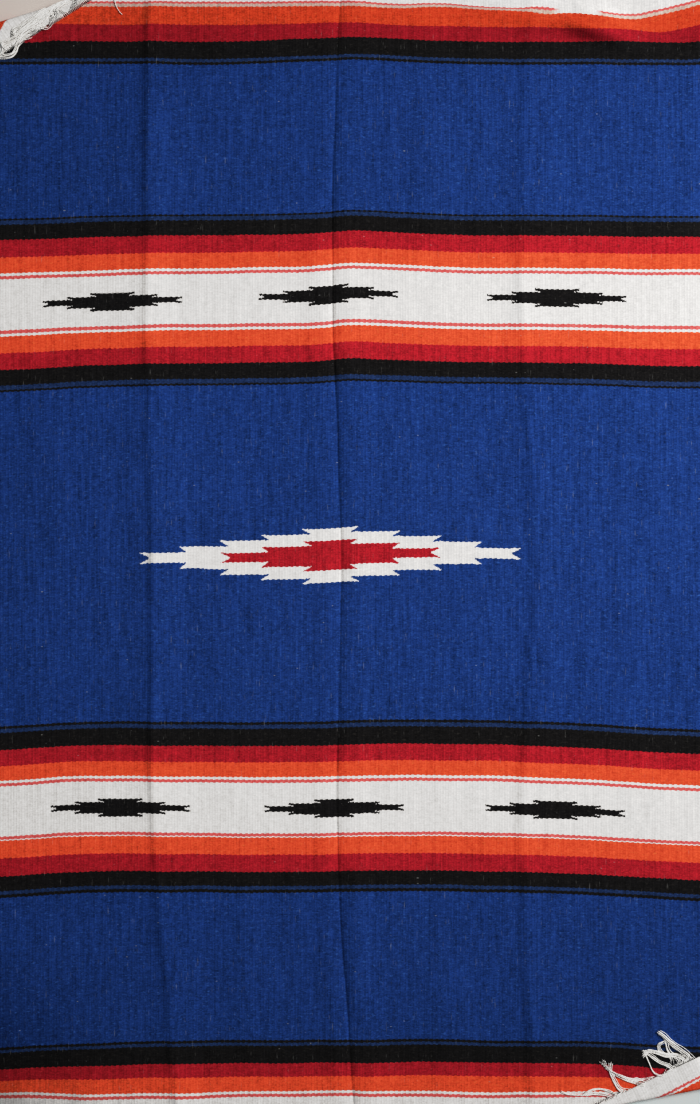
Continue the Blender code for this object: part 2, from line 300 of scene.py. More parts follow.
RIPPLES = (
    Ripple(0.400, 1.004, half_width=0.058, half_length=0.190, height=0.0105, turn=86),
    Ripple(0.500, 1.002, half_width=0.044, half_length=0.105, height=0.0125, turn=70),
    Ripple(0.490, 0.970, half_width=0.028, half_length=0.115, height=0.0088, turn=68),
    Ripple(0.690, 0.960, half_width=0.040, half_length=0.060, height=0.0040, turn=-20),
    Ripple(-0.560, -1.025, half_width=0.070, half_length=0.050, height=0.0045),
    Ripple(-0.460, -1.015, half_width=0.050, half_length=0.050, height=0.0030),
    Ripple(0.180, 0.040, half_width=0.030, half_length=0.110, height=0.0014, turn=78),
    Ripple(-0.520, 0.120, half_width=0.050, half_length=0.300, height=0.0020, turn=3),
    Ripple(0.560, -0.210, half_width=0.060, half_length=0.330, height=0.0022, turn=-4),
    Ripple(-0.170, -0.700, half_width=0.070, half_length=0.240, height=0.0018, turn=5),
    Ripple(0.180, 0.740, half_width=0.060, half_length=0.210, height=0.0016, turn=-3),
    Ripple(0.200, -0.860, half_width=0.060, half_length=0.180, height=0.0018, turn=6),
)

HEAD_LEFT = Corner(
    side=LEFT, end=HEAD, along_end=0.303, along_side=0.095, roll=0.0105, tight=0.0060
)
FOOT_RIGHT = Corner(
    side=RIGHT, end=FOOT, along_end=0.255, along_side=0.0535, roll=0.0085, tight=0.0035
)
CORNERS = (HEAD_LEFT, FOOT_RIGHT)


@dataclass(frozen=True)
class Drape:
    """Lays flat cloth, and whatever is sewn or knotted to it, down where it rests."""

    creases: tuple[Crease, ...] = CREASES
    ripples: tuple[Ripple, ...] = RIPPLES
    corners: tuple[Corner, ...] = CORNERS
    over_turn: float = math.radians(25)  # a roll turns this far past half a circle
    flap_gap: float = 0.0005  # between a flap and the face that it rests on
    pulled_flat: float = 0.060  # the creases fade over this distance before a roll

    def lay(self, u: Array, v: Array) -> Array:
        """How far the cloth at u, v is shifted towards the head.

        Each column of the table is a smooth curve across, and v blends the two columns
        that it lies between in proportion.

        Args:
            u: The place across.
            v: The place along.

        Returns:
            The shift.
        """
        across = [row.across for row in LAY]
        names = [field.name for field in fields(Lay)][1:]
        columns = [smooth_curve(u, across, [getattr(row, name) for row in LAY]) for name in names]
        order = np.argsort(LAY_STATIONS)
        places = np.asarray(LAY_STATIONS)[order]
        shares = np.eye(len(LAY_STATIONS))[:, order]
        return sum(np.interp(v, places, share) * col for share, col in zip(shares, columns))

    def relief(self, u: Array, v: Array) -> Array:
        """How far the reverse side stands off the surface: the sum of creases and ripples.

        The cloth is pulled flat where a corner's roll begins.

        Args:
            u: The place across.
            v: The place along.

        Returns:
            The height.
        """
        height = sum(crease.lift(u, v) for crease in self.creases)
        height = height + sum(ripple.lift(u, v) for ripple in self.ripples)
        for corner in self.corners:
            height = height * (1 - bell(np.minimum(corner.past(u, v), 0) / self.pulled_flat))
        return height

    def roll_over(self, past: Array, roll: Array) -> tuple[Array, Array, Array]:
        """Work out where the reverse side goes, this far past the start of a roll.

        It climbs an arc of the roll's radius, a little past half a circle, then settles on
        a wide arc bent the other way until it runs level, back over the face.

        Args:
            past: The distance along the cloth from where the roll starts.
            roll: The outer radius of the roll.

        Returns:
            How far out it lies, how high, and how far the cloth has turned there.
        """
        over, rest = self.over_turn, 2 * WALL + self.flap_gap
        wide = (roll * (1 + math.cos(over)) - rest) / (1 - math.cos(over))
        most = math.pi + over
        climb = np.clip(past, 0, most * roll)
        settle = np.clip(past - most * roll, 0, over * wide)
        level = np.maximum(past - most * roll - over * wide, 0)
        climbed = climb / roll
        turn = climbed - settle / wide
        out = roll * np.sin(climbed) + wide * (np.sin(climbed) - np.sin(turn)) - level
        height = roll * (1 - np.cos(climbed)) + wide * (np.cos(turn) - np.cos(climbed))
        return out, height, turn

    def place(self, cloth: Array) -> Array:
        """Take points of the flat cloth to where they lie.

        What has turned over follows the relief of the face that it lies on.

        Args:
            cloth: Points u, v, t along the last axis.

        Returns:
            Points x, y, z in an array of the same shape.
        """
        u, v, t = np.moveaxis(np.asarray(cloth, float), -1, 0)
        lift = self.relief(u, v) + t
        x, y, z = u.copy(), v + self.lay(u, v), lift.copy()
        for corner in self.corners:
            past = corner.past(x, y)
            out, height, turn = self.roll_over(past, corner.radius(x))
            shift = np.where(past > 0, out - past - np.sin(turn) * lift, 0)
            away = corner.outward()
            x = x + shift * away[0]
            y = y + shift * away[1]
            beneath = self.relief(x, y) * (1 - np.cos(turn)) / 2
            z = np.where(past > 0, height + np.cos(turn) * lift + beneath, z)
        return np.stack([x, y, z], axis=-1)


# Shader maths


class Signal:
    """A number that varies over a surface. Arithmetic on it adds Math nodes."""

    def __init__(self, recipe: "Recipe", socket: bpy.types.NodeSocket) -> None:
        """Wrap an output socket of the recipe's tree."""
        self.recipe = recipe
        self.socket = socket

    def math(self, operation: str, *others: "Signal | float", clamp: bool = False) -> "Signal":
        """The result of one Math node that takes this signal first."""
        settings = {"operation": operation, "use_clamp": clamp}
        return self.recipe.node("ShaderNodeMath", settings, self, *others)

    def __add__(self, other: "Signal | float") -> "Signal":
        """The sum."""
        return self.math("ADD", other)

    __radd__ = __add__

    def __mul__(self, other: "Signal | float") -> "Signal":
        """The product."""
        return self.math("MULTIPLY", other)

    __rmul__ = __mul__

    def __sub__(self, other: "Signal | float") -> "Signal":
        """The difference."""
        return self.math("SUBTRACT", other)

    def __rsub__(self, other: float) -> "Signal":
        """The difference, from a plain number."""
        return self.math("MULTIPLY_ADD", -1.0, other)

    def __truediv__(self, other: "Signal | float") -> "Signal":
        """The quotient."""
        return self.math("DIVIDE", other)

    def __pow__(self, power: float) -> "Signal":
        """The power."""
        return self.math("POWER", power)

    def __abs__(self) -> "Signal":
        """The size without its sign."""
        return self.math("ABSOLUTE")

    def floor(self) -> "Signal":
        """The whole number below."""
        return self.math("FLOOR")

    def part(self) -> "Signal":
        """What is left over the whole number below."""
        return self.math("FRACT")

    def sine(self) -> "Signal":
        """The sine of an angle in radians."""
        return self.math("SINE")

    def least(self, other: "Signal | float") -> "Signal":
        """The smaller of the two."""
        return self.math("MINIMUM", other)

    def most(self, other: "Signal | float") -> "Signal":
        """The larger of the two."""
        return self.math("MAXIMUM", other)

    def below(self, edge: "Signal | float", soft: float) -> "Signal":
        """One below the edge and nought above it, with a straight ramp this wide between."""
        return ((edge - self) / soft).math("ADD", 0.5, clamp=True)

    def between(self, low: float, high: float) -> "Signal":
        """Nought at low, one at high and a straight ramp between, clamped."""
        return (self - low).math("DIVIDE", high - low, clamp=True)

    def towards(self, other: "Signal | float", share: "Signal | float") -> "Signal":
        """A blend of this and the other, by the other's share."""
        return self + (other - self) * share


@dataclass(frozen=True)
class Grain:
    """Smooth noise: how many swells it has to a unit each way, and how much it counts."""

    across: float
    along: float
    seed: float
    detail: float = 1.0
    amount: float = 1.0


class Recipe:
    """The node tree of one material."""

    def __init__(self, name: str) -> None:
        """Start a material with nothing but its shader.

        Args:
            name: The material's name.
        """
        self.material = bpy.data.materials.new(name)
        self.material.use_nodes = True
        self.tree = self.material.node_tree
        self.shader = self.tree.nodes["Principled BSDF"]

    def node(self, kind: str, settings: dict, *inputs: object, out: int = 0) -> Signal:
        """Add a node.

        Args:
            kind: The node's type.
            settings: Its own settings, which are set before its sockets, by name. The
                stops of a ramp are pairs of a place and a colour under "stops".
            inputs: Signals or plain values for its sockets, in order. None leaves one.
            out: Which of its outputs to take.

        Returns:
            The signal of that output.
        """
        made = self.tree.nodes.new(kind)
        for name, value in settings.items():
            if name == "stops":
                self.set_stops(made.color_ramp, value)
            else:
                setattr(made, name, value)
        sockets = [socket for socket in made.inputs if socket.enabled]
        for socket, value in zip(sockets, inputs):
            if isinstance(value, Signal):
                self.tree.links.new(value.socket, socket)
            elif value is not None:
                socket.default_value = value
        outputs = [socket for socket in made.outputs if socket.enabled]
        return Signal(self, outputs[out])

    def set_stops(self, ramp: bpy.types.ColorRamp, stops: list[tuple[float, tuple]]) -> None:
        """Give a ramp its stops, each held until the next one.

        Args:
            ramp: The ramp.
            stops: The place and colour of each.
        """
        ramp.interpolation = "CONSTANT"
        while len(ramp.elements) < len(stops):
            ramp.elements.new(1.0)
        for element, (place, colour) in zip(ramp.elements, stops):
            element.position = place
            element.color = colour

    def coordinates(self, uv_map: str) -> tuple[Signal, Signal]:
        """The two coordinates of a piece's own UV map.

        Args:
            uv_map: The map's name.

        Returns:
            The signal of each.
        """
        both = self.node("ShaderNodeUVMap", {"uv_map": uv_map})
        return (
            self.node("ShaderNodeSeparateXYZ", {}, both, out=0),
            self.node("ShaderNodeSeparateXYZ", {}, both, out=1),
        )

    def vector(self, x: Signal, y: Signal, z: float = 0.0) -> Signal:
        """Three numbers as one vector."""
        return self.node("ShaderNodeCombineXYZ", {}, x, y, z)

    def noise(self, grain: Grain, x: Signal, y: Signal) -> Signal:
        """A grain's smooth noise at x, y, from nought to one."""
        at = self.vector(x * grain.across, y * grain.along, grain.seed)
        return self.node("ShaderNodeTexNoise", {}, at, 1.0, grain.detail, 0.5)

    def sway(self, grain: Grain, x: Signal, y: Signal) -> Signal:
        """A grain's noise to both sides of nought, by its amount."""
        return (self.noise(grain, x, y) - 0.5) * grain.amount

    def scatter(self, x: Signal, y: Signal) -> Signal:
        """A number from nought to one that has nothing to do with its neighbours'."""
        settings = {"noise_dimensions": "2D"}
        return self.node("ShaderNodeTexWhiteNoise", settings, self.vector(x, y))

    def blend(self, base: object, over: object, share: Signal | float) -> Signal:
        """A blend of two colours, by the second one's share."""
        settings = {"data_type": "RGBA", "blend_type": "MIX"}
        return self.node("ShaderNodeMix", settings, share, base, over)

    def dim(self, colour: Signal, factor: Signal) -> Signal:
        """A colour times a number."""
        return self.node("ShaderNodeVectorMath", {"operation": "SCALE"}, colour, factor)

    def bump(self, height: Signal, distance: float, strength: float) -> Signal:
        """The normal of a surface raised by the height, where one is the distance in metres."""
        return self.node("ShaderNodeBump", {}, strength, distance, None, height)

    def feed(self, socket: str, value: Signal | float | tuple) -> None:
        """Link a signal to a socket of the shader, or set a value that is the same all over.

        Args:
            socket: The socket's name.
            value: What it takes.
        """
        if isinstance(value, Signal):
            self.tree.links.new(value.socket, self.shader.inputs[socket])
        else:
            self.shader.inputs[socket].default_value = value


# What it is woven of

FIBRE_ROUGHNESS = 0.95
FIBRE_GLOSS = 0.05  # fibres hardly shine


@dataclass(frozen=True)
class Wool:
    """One dyed yarn: its colour, that of its paler strands, and how mixed it looks."""

    colour: tuple[float, float, float]
    strand: tuple[float, float, float]
    mixed: float

    def stop(self) -> tuple[float, float, float, float]:
        """The colour, with how mixed it is as its fourth number."""
        return (*self.colour, self.mixed)

    def strand_stop(self) -> tuple[float, float, float, float]:
        """The paler strands' colour."""
        return (*self.strand, 1.0)


class Yarn(Enum):
    """The yarns of the weft, and darker copies of the orange and red that paint shade near the
    head.
    """

    BLUE = Wool((0.0258, 0.0665, 0.2140), (0.070, 0.170, 0.440), 1.00)
    BLACK = Wool((0.0200, 0.0190, 0.0195), (0.060, 0.055, 0.050), 0.90)
    LINE_BLUE = Wool((0.0290, 0.0540, 0.1300), (0.070, 0.140, 0.300), 1.00)
    RED = Wool((0.4000, 0.0290, 0.0440), (0.600, 0.070, 0.080), 0.85)
    # Painted shade: darker copies of the orange and red, for the shade near the head end.
    HEAD_ORANGE = Wool((0.5900, 0.0860, 0.0380), (0.760, 0.180, 0.070), 0.90)
    HEAD_RED = Wool((0.3350, 0.0245, 0.0380), (0.500, 0.060, 0.080), 0.80)
    ORANGE = Wool((0.7500, 0.1200, 0.0560), (0.880, 0.230, 0.090), 0.80)
    WHITE = Wool((0.7550, 0.7370, 0.7180), (0.830, 0.815, 0.800), 0.45)
    LINE_WHITE = Wool((0.5600, 0.4300, 0.3800), (0.700, 0.620, 0.580), 0.60)
    PIN = Wool((0.6600, 0.1450, 0.1400), (0.760, 0.440, 0.400), 0.60)


@dataclass(frozen=True)
class Stripe:
    """A stripe's far edge, from the middle of its band or from the woven end, and its yarn."""

    edge: float
    yarn: Yarn


FIGURE_BAND_AT = 0.477  # from the middle of the cloth to the middle of each figure band
BAND_YARNS = (
    Yarn.WHITE, Yarn.PIN, Yarn.WHITE, Yarn.ORANGE,
    Yarn.RED, Yarn.BLACK, Yarn.LINE_BLUE, Yarn.BLACK,
)
# The head band takes the shaded copies of the orange and red: painted shade.
HEAD_YARNS = (
    Yarn.WHITE, Yarn.PIN, Yarn.LINE_WHITE, Yarn.HEAD_ORANGE,
    Yarn.HEAD_RED, Yarn.BLACK, Yarn.LINE_BLUE, Yarn.BLACK,
)


def stripes(*edges: float, yarns: tuple[Yarn, ...] = BAND_YARNS) -> tuple[Stripe, ...]:
    """A band's stripes, from its far edges in order."""
    return tuple(Stripe(edge, yarn) for edge, yarn in zip(edges, yarns))


# Outwards from the middle of each figure band, on its two sides, which differ a little.
UPPER_HEADWARD = stripes(0.0469, 0.0529, 0.0583, 0.0863, 0.1175, 0.1460, 0.1531, 0.1557)
UPPER_INWARD = stripes(0.0447, 0.0511, 0.0561, 0.0879, 0.1188, 0.1492, 0.1564, 0.1607)
LOWER_INWARD = stripes(0.0494, 0.0550, 0.0606, 0.0887, 0.1190, 0.1527, 0.1599, 0.1651)
LOWER_FOOTWARD = stripes(0.0454, 0.0510, 0.0538, 0.0864, 0.1192, 0.1467, 0.1527, 0.1587)
# Inwards from the woven ends.
HEAD_BAND = stripes(
    0.0243, 0.0288, 0.0345, 0.0674, 0.0988, 0.1300, 0.1360, 0.1410, yarns=HEAD_YARNS
)
FOOT_BAND = stripes(0.0365, 0.0415, 0.0465, 0.0728, 0.0980, 0.1300, 0.1360, 0.1410)
LOWER_BAND_SHARE = 0.98  # the lower band's stripes are this share of the widths in their tables
BAND_REACH = 0.200  # what a ramp of stripes covers

# At the two turned corners the end's stripes lie nearer the end, or further from it.
CROWDING = 0.0145
CROWDED_LEFT = ((-0.520, -0.560), (-0.640, -0.598))  # where it sets in and fades, across
CROWDED_RIGHT = (0.560, 0.700)
CROWDED_END = ((0.018, 0.044), (0.110, 0.055))  # and from the end
LEFT_SHARE = -1.3  # of the crowding: there the stripes spread instead
# Under the turned corner and in a fold, the head shows no pin stripe.
BARE_LEFT = (-0.478, 0.006)  # up to here across, and over how much it sets in
BARE_FOLD = ((0.405, 0.420), (0.490, 0.012))  # from here, and up to here
BARE_DEPTH = 0.0345


@dataclass(frozen=True)
class Tier:
    """One tier of a stepped figure: its half height, and half its length at foot and horn."""

    half_height: float
    half_length: float
    horn_tip: float


@dataclass(frozen=True)
class Figure:
    """A stepped, horned figure woven in tapestry, the same on both sides of both its axes.

    In each tier the end slants out from the tier's foot to the tip of a horn at its top.
    A horn that starts late in its tier is a thin hook.
    """

    tiers: tuple[Tier, ...]  # from the tallest and shortest to the lowest and longest
    hook_from: float
    hook_full: float
    lift: float = 0.0  # how far a horn's tip bends away from the middle

    def mask(self, across: Signal, along: Signal) -> Signal:
        """One inside the figure.

        Args:
            across: The distance from its middle across the cloth.
            along: The distance from its middle along the cloth.

        Returns:
            Whether the place is nearer than the end of the tier at that height.
        """
        for tier in self.tiers:
            bent = across.between(tier.half_length, tier.horn_tip)
            bent = bent * across.below(tier.horn_tip, TINY)
            along = along - bent * self.lift
        edge = None
        for tier, lower in zip(self.tiers, (*self.tiers[1:], None)):
            floor = lower.half_height if lower else 0.0
            rise = along.between(floor, tier.half_height).between(self.hook_from, self.hook_full)
            here = rise * (tier.horn_tip - tier.half_length) + tier.half_length
            if edge is None:
                edge = here
            else:
                edge = edge.towards(here, along.below(tier.half_height, TINY))
        top = along.below(self.tiers[0].half_height, TINY)
        return across.below(edge, FIGURE_SOFT) * top


TINY = 1e-5
FIGURE_SOFT = 0.0015
BLACK_FIGURE = Figure(
    tiers=(
        Tier(0.0165, 0.0310, 0.0415),
        Tier(0.0104, 0.0750, 0.0850),
        Tier(0.0052, 0.1200, 0.1300),
    ),
    hook_from=0.20,
    hook_full=0.36,
    lift=0.0012,
)
MIDDLE_FIGURE = Figure(
    tiers=(Tier(0.0165, 0.0262, 0.0370), *BLACK_FIGURE.tiers[1:]),
    hook_from=0.20,
    hook_full=0.36,
    lift=0.0012,
)
WHITE_DIAMOND = Figure(
    tiers=(
        Tier(0.0505, 0.0375, 0.0525),
        Tier(0.0408, 0.1155, 0.1290),
        Tier(0.0312, 0.1910, 0.2060),
        Tier(0.0205, 0.2690, 0.2810),
        Tier(0.0097, 0.3380, 0.3550),
    ),
    hook_from=0.15,
    hook_full=0.90,
    lift=0.0010,
)
RED_DIAMOND = Figure(
    tiers=(
        Tier(0.0272, 0.0360, 0.0510),
        Tier(0.0185, 0.1160, 0.1293),
        Tier(0.0086, 0.1870, 0.2048),
    ),
    hook_from=0.10,
    hook_full=0.95,
    lift=0.0008,
)
DIAMOND_AT = (-0.0082, -0.008)
# Each figure with its places in the upper and lower bands: across, and outwards from the
# band's middle.
FIGURES = (
    (BLACK_FIGURE, (-0.4150, 0.0005), (-0.4000, 0.0000)),
    (MIDDLE_FIGURE, (-0.0120, 0.0038), (-0.0015, -0.0010)),
    (BLACK_FIGURE, (+0.4137, 0.0033), (+0.4105, -0.0005)),
)


@dataclass(frozen=True)
class Fleck:
    """Fibres of another colour that show where a grain is strong."""

    grain: Grain
    onset: tuple[float, float]  # of the grain, where they set in and are full
    colour: tuple[float, float, float] | None  # None is the yarn's own paler strands


@dataclass(frozen=True)
class Weave:
    """Weft-faced plain weave: each warp makes a rib, clad in stacked beads of weft.

    A pick passes over every second warp, so the beads of neighbouring ribs are half a
    bead out of step, and a change of yarn shows as small teeth.
    """

    rib: float = 0.0050  # from warp to warp
    bead: float = 0.0019  # from pick to next but one pick
    beating: tuple[Grain, ...] = (
        Grain(9, 7, seed=3.0, amount=0.0040),
        Grain(45, 30, seed=5.0, amount=0.0016),
    )
    ragged: float = 0.0016  # how far the edge of a figure strays at a bead
    shades: tuple[Grain, ...] = (
        Grain(190, 12, seed=1.0, detail=2.0, amount=0.85),  # streaks along the warp
        Grain(30, 2.5, seed=2.0, amount=0.28),  # broad streaks
        Grain(75, 90, seed=4.0, detail=3.0, amount=0.70),  # blotches
        Grain(330, 360, seed=5.0, amount=0.95),  # speckle
    )
    bead_shade: float = 0.30
    darkest: float = 0.2
    flecks: tuple[Fleck, ...] = (
        Fleck(Grain(120, 260, seed=6.0, detail=2.0, amount=0.75), (0.58, 0.80), None),
        # Warp that shows between the picks.
        Fleck(Grain(330, 40, seed=7.0, detail=2.0, amount=0.30), (0.66, 0.80), (0.42, 0.42, 0.40)),
        # Slubs of undyed fibre.
        Fleck(Grain(120, 300, seed=8.0, detail=0.0, amount=0.45), (0.86, 0.90), (0.50, 0.50, 0.48)),
    )
    # Painted shade: the colour is darkened towards the foot's left corner.
    corner_shade: float = 0.42  # how much is taken off the colour at the foot's left corner
    corner_shade_reach: tuple[float, float] = (0.36, 0.03)  # from the corner, to none of it and to all
    fibre: Grain = Grain(900, 2200, seed=9.0, amount=0.15)
    lump: Grain = Grain(60, 45, seed=10.0, detail=2.0, amount=1.2)
    bump: tuple[float, float] = (0.0008, 0.32)  # how high a unit of relief is, and its strength
    uv_map: str = "cloth"

    def material(self) -> bpy.types.Material:
        """The finish of the web.

        A place's rib and bead come from counting ribs across and beads along, where the
        beads of every other rib start half a bead later.

        Returns:
            The material.
        """
        recipe = Recipe("striped_wool_weave")
        u, v = recipe.coordinates(self.uv_map)
        rib_at = u / self.rib + 0.5
        rib_number = rib_at.floor()
        odd = (rib_number * 0.5).part() * 2
        picks = self.beaten(recipe, u, v) / self.bead + odd * 0.5
        bead_number = picks.floor()
        along = (bead_number - odd * 0.5 + 0.5) * self.bead
        wild = recipe.scatter(rib_number, bead_number)
        colour, strand, mixed = self.pattern(recipe, u, along)
        colour = self.melange(recipe, u, v, wild, colour, strand, mixed)
        recipe.feed("Base Color", colour)
        recipe.feed("Roughness", FIBRE_ROUGHNESS)
        recipe.feed("Specular IOR Level", FIBRE_GLOSS)
        recipe.feed("Normal", self.relief(recipe, u, v, rib_at, picks, wild))
        return recipe.material

    def beaten(self, recipe: Recipe, u: Signal, v: Signal) -> Signal:
        """The place along, as the weft was beaten in: a slow and a quick wander added to v."""
        slow, quick = (recipe.sway(grain, u, v) for grain in self.beating)
        return v + slow + quick

    def ramp(self, recipe: Recipe, place: Signal, band: tuple, strands: bool, out: int) -> Signal:
        """A band's stripes as a ramp over its reach, beyond which the ground is blue.

        Args:
            recipe: The material's recipe.
            place: How far into the band a place is.
            band: The band's stripes.
            strands: Whether the colours are those of the paler strands.
            out: Which of the ramp's outputs to take: the colour, or how mixed the yarn is.

        Returns:
            That output.
        """
        edges = [0.0, *(stripe.edge / BAND_REACH for stripe in band)]
        yarns = [*(stripe.yarn for stripe in band), Yarn.BLUE]
        stops = [
            (edge, yarn.value.strand_stop() if strands else yarn.value.stop())
            for edge, yarn in zip(edges, yarns)
        ]
        return recipe.node("ShaderNodeValToRGB", {"stops": stops}, place / BAND_REACH, out=out)

    def choose(
        self, recipe: Recipe, low: Signal, high: Signal, share: Signal, out: int
    ) -> Signal:
        """One of two ramps by a share, of their first output, a colour, or their second."""
        return low.towards(high, share) if out else recipe.blend(low, high, share)

    def pattern(self, recipe: Recipe, u: Signal, v: Signal) -> tuple[Signal, Signal, Signal]:
        """What was woven at u, v.

        Args:
            recipe: The material's recipe.
            u: The place across.
            v: The place along, of the middle of a bead.

        Returns:
            The yarn's colour, its strands' colour and how mixed it is.
        """
        size = abs(v)
        upper = (v * -1).below(0.0, TINY)
        share = upper * (1 - LOWER_BAND_SHARE) + LOWER_BAND_SHARE
        from_band = abs(size - FIGURE_BAND_AT) / share
        outward = size.below(FIGURE_BAND_AT, TINY) * -1 + 1
        from_end = (LENGTH / 2 - size).most(0.0)
        at_left = u.between(*CROWDED_LEFT[0]) * u.between(*CROWDED_LEFT[1]) * upper
        at_right = u.between(*CROWDED_RIGHT) * (1 - upper)
        crowding = (at_left * LEFT_SHARE + at_right) * from_end.between(*CROWDED_END[0])
        crowding = crowding * from_end.between(*CROWDED_END[1])
        from_end = from_end + crowding * CROWDING
        in_end = size.below((FIGURE_BAND_AT + LENGTH / 2) / 2, TINY) * -1 + 1
        found = []
        for strands, out in ((False, 0), (True, 0), (False, 1)):
            sides = []
            for place, above, below in (
                (from_band, UPPER_HEADWARD, LOWER_FOOTWARD),
                (from_band, UPPER_INWARD, LOWER_INWARD),
                (from_end, HEAD_BAND, FOOT_BAND),
            ):
                high = self.ramp(recipe, place, above, strands, out)
                low = self.ramp(recipe, place, below, strands, out)
                sides.append(self.choose(recipe, low, high, upper, out))
            near = self.choose(recipe, sides[1], sides[0], outward, out)
            found.append(self.choose(recipe, near, sides[2], in_end, out))
        stray = recipe.scatter(v * 411, v * 173) - 0.5
        place = u + stray * self.ragged
        black = 0.0
        for figure, in_upper, in_lower in FIGURES:
            centre, shift = (upper * (a - b) + b for a, b in zip(in_upper, in_lower))
            black = figure.mask(abs(place - centre), abs(size - FIGURE_BAND_AT - shift)) + black
        across = abs(place - DIAMOND_AT[0])
        along = abs(v - DIAMOND_AT[1])
        bare = u.below(*BARE_LEFT) + u.between(*BARE_FOLD[0]) * u.below(*BARE_FOLD[1])
        bare = bare * upper * from_end.below(BARE_DEPTH, TINY)
        layers = (
            (bare, Yarn.WHITE),
            (black, Yarn.BLACK),
            (WHITE_DIAMOND.mask(across, along), Yarn.WHITE),
            (RED_DIAMOND.mask(across, along), Yarn.RED),
        )
        colour, strand, mixed = found
        for mask, yarn in layers:
            colour = recipe.blend(colour, (*yarn.value.colour, 1.0), mask)
            strand = recipe.blend(strand, yarn.value.strand_stop(), mask)
            mixed = mixed.towards(yarn.value.mixed, mask)
        return colour, strand, mixed

    def melange(
        self,
        recipe: Recipe,
        u: Signal,
        v: Signal,
        wild: Signal,
        colour: Signal,
        strand: Signal,
        mixed: Signal,
    ) -> Signal:
        """The yarn's colour with its unevenness.

        Args:
            recipe: The material's recipe.
            u: The place across.
            v: The place along.
            wild: A number of each bead's own.
            colour: The yarn's colour.
            strand: The colour of its paler strands.
            mixed: How mixed it is.

        Returns:
            The colour, dimmed by streaks along the warp, blotches and each bead's own
            shade, and darkened by painted shade towards the foot's left corner, with paler
            strands and flecks of undyed fibre laid over it.
        """
        shade = (wild - 0.5) * self.bead_shade
        for grain in self.shades:
            shade = shade + recipe.sway(grain, u, v)
        across, along = u + WIDTH / 2, v + LENGTH / 2
        # Painted shade: the colour darkens towards the foot's left corner.
        corner_shade = ((across * across + along * along) ** 0.5).between(*self.corner_shade_reach) * self.corner_shade
        colour = recipe.dim(colour, (shade * mixed + 1).most(self.darkest) * (1 - corner_shade))
        for fleck in self.flecks:
            share = recipe.noise(fleck.grain, u, v).between(*fleck.onset) * mixed
            over = (*fleck.colour, 1.0) if fleck.colour else strand
            colour = recipe.blend(colour, over, share * fleck.grain.amount)
        return colour

    def relief(
        self, recipe: Recipe, u: Signal, v: Signal, rib_at: Signal, picks: Signal, wild: Signal
    ) -> Signal:
        """The normal of the weave.

        Args:
            recipe: The material's recipe.
            u: The place across.
            v: The place along.
            rib_at: The place across, counted in ribs.
            picks: The place along, counted in beads.
            wild: A number of each bead's own.

        Returns:
            The bump of a round rib times a round bead, with beads uneven and fibres over
            them, on cloth that is slightly lumpy.
        """
        side = rib_at.part() * 2 - 1
        rise = picks.part() * 2 - 1
        rib = 1 - side * side
        bead = 1 - rise * rise
        height = rib * (bead * 0.35 + wild * 0.15 + 0.20)
        for grain in (self.fibre, self.lump):
            height = height + recipe.noise(grain, u, v) * grain.amount
        return recipe.bump(height, *self.bump)


@dataclass(frozen=True)
class CottonPly:
    """Undyed cotton of two plies, which show as ribs that wind along the yarn."""

    colour: tuple[float, float, float] = (0.960, 0.945, 0.915)
    shadow: tuple[float, float, float] = (0.880, 0.855, 0.820)
    plies: int = 2
    winds: float = 330  # turns of a ply to the metre
    fuzz: Grain = Grain(9, 2400, seed=1.0, detail=2.0, amount=0.5)
    stain: Grain = Grain(2, 35, seed=2.0, detail=2.0, amount=0.8)
    bump: tuple[float, float] = (0.0003, 0.35)  # how high a unit of relief is, and its strength
    uv_map: str = "yarn"

    def material(self) -> bpy.types.Material:
        """The finish of the fringe: plies that wind along a yarn, with fuzz and stains.

        The map's first number runs round the yarn and its second along it, in metres.

        Returns:
            The material.
        """
        recipe = Recipe("undyed_cotton_ply")
        around, along = recipe.coordinates(self.uv_map)
        winding = (around * self.plies + along * self.winds) * math.tau
        ply = winding.sine() * 0.5 + 0.5
        fuzz = recipe.noise(self.fuzz, around, along)
        share = (1 - ply) * 0.5 + recipe.sway(self.stain, around, along)
        share = (share + (fuzz - 0.5) * self.fuzz.amount).most(0.0).least(1.0)
        recipe.feed("Base Color", recipe.blend((*self.colour, 1), (*self.shadow, 1), share))
        recipe.feed("Roughness", FIBRE_ROUGHNESS)
        recipe.feed("Specular IOR Level", FIBRE_GLOSS)
        recipe.feed("Normal", recipe.bump(ply + fuzz * self.fuzz.amount, *self.bump))
        return recipe.material


@dataclass(frozen=True)
class PaleFloor:
    """A plain pale floor."""

    warm: tuple[float, float, float] = (0.690, 0.625, 0.585)  # towards the head's left
    cool: tuple[float, float, float] = (0.680, 0.735, 0.730)  # towards the foot's right
    slant: float = 0.6  # how much of the change between them runs across
    change: float = 1.4  # metres from the middle to where it is complete
    uneven: float = 0.04
    roughness: float = 0.85

    def material(self) -> bpy.types.Material:
        """The finish of the floor: matt, with the faintest unevenness.

        Returns:
            The material.
        """
        recipe = Recipe("pale_floor")
        place = recipe.node("ShaderNodeTexCoord", {}, out=3)
        cloudy = recipe.node("ShaderNodeTexNoise", {}, place, 2.0, 2.0, 0.5)
        tone = cloudy * self.uneven + (1 - self.uneven / 2)
        x, y = (recipe.node("ShaderNodeSeparateXYZ", {}, place, out=k) for k in (0, 1))
        cool = (x * self.slant - y).between(-self.change, self.change)
        plain = recipe.blend((*self.warm, 1.0), (*self.cool, 1.0), cool)
        recipe.feed("Base Color", recipe.dim(plain, tone))
        recipe.feed("Roughness", self.roughness)
        return recipe.material


# Meshes


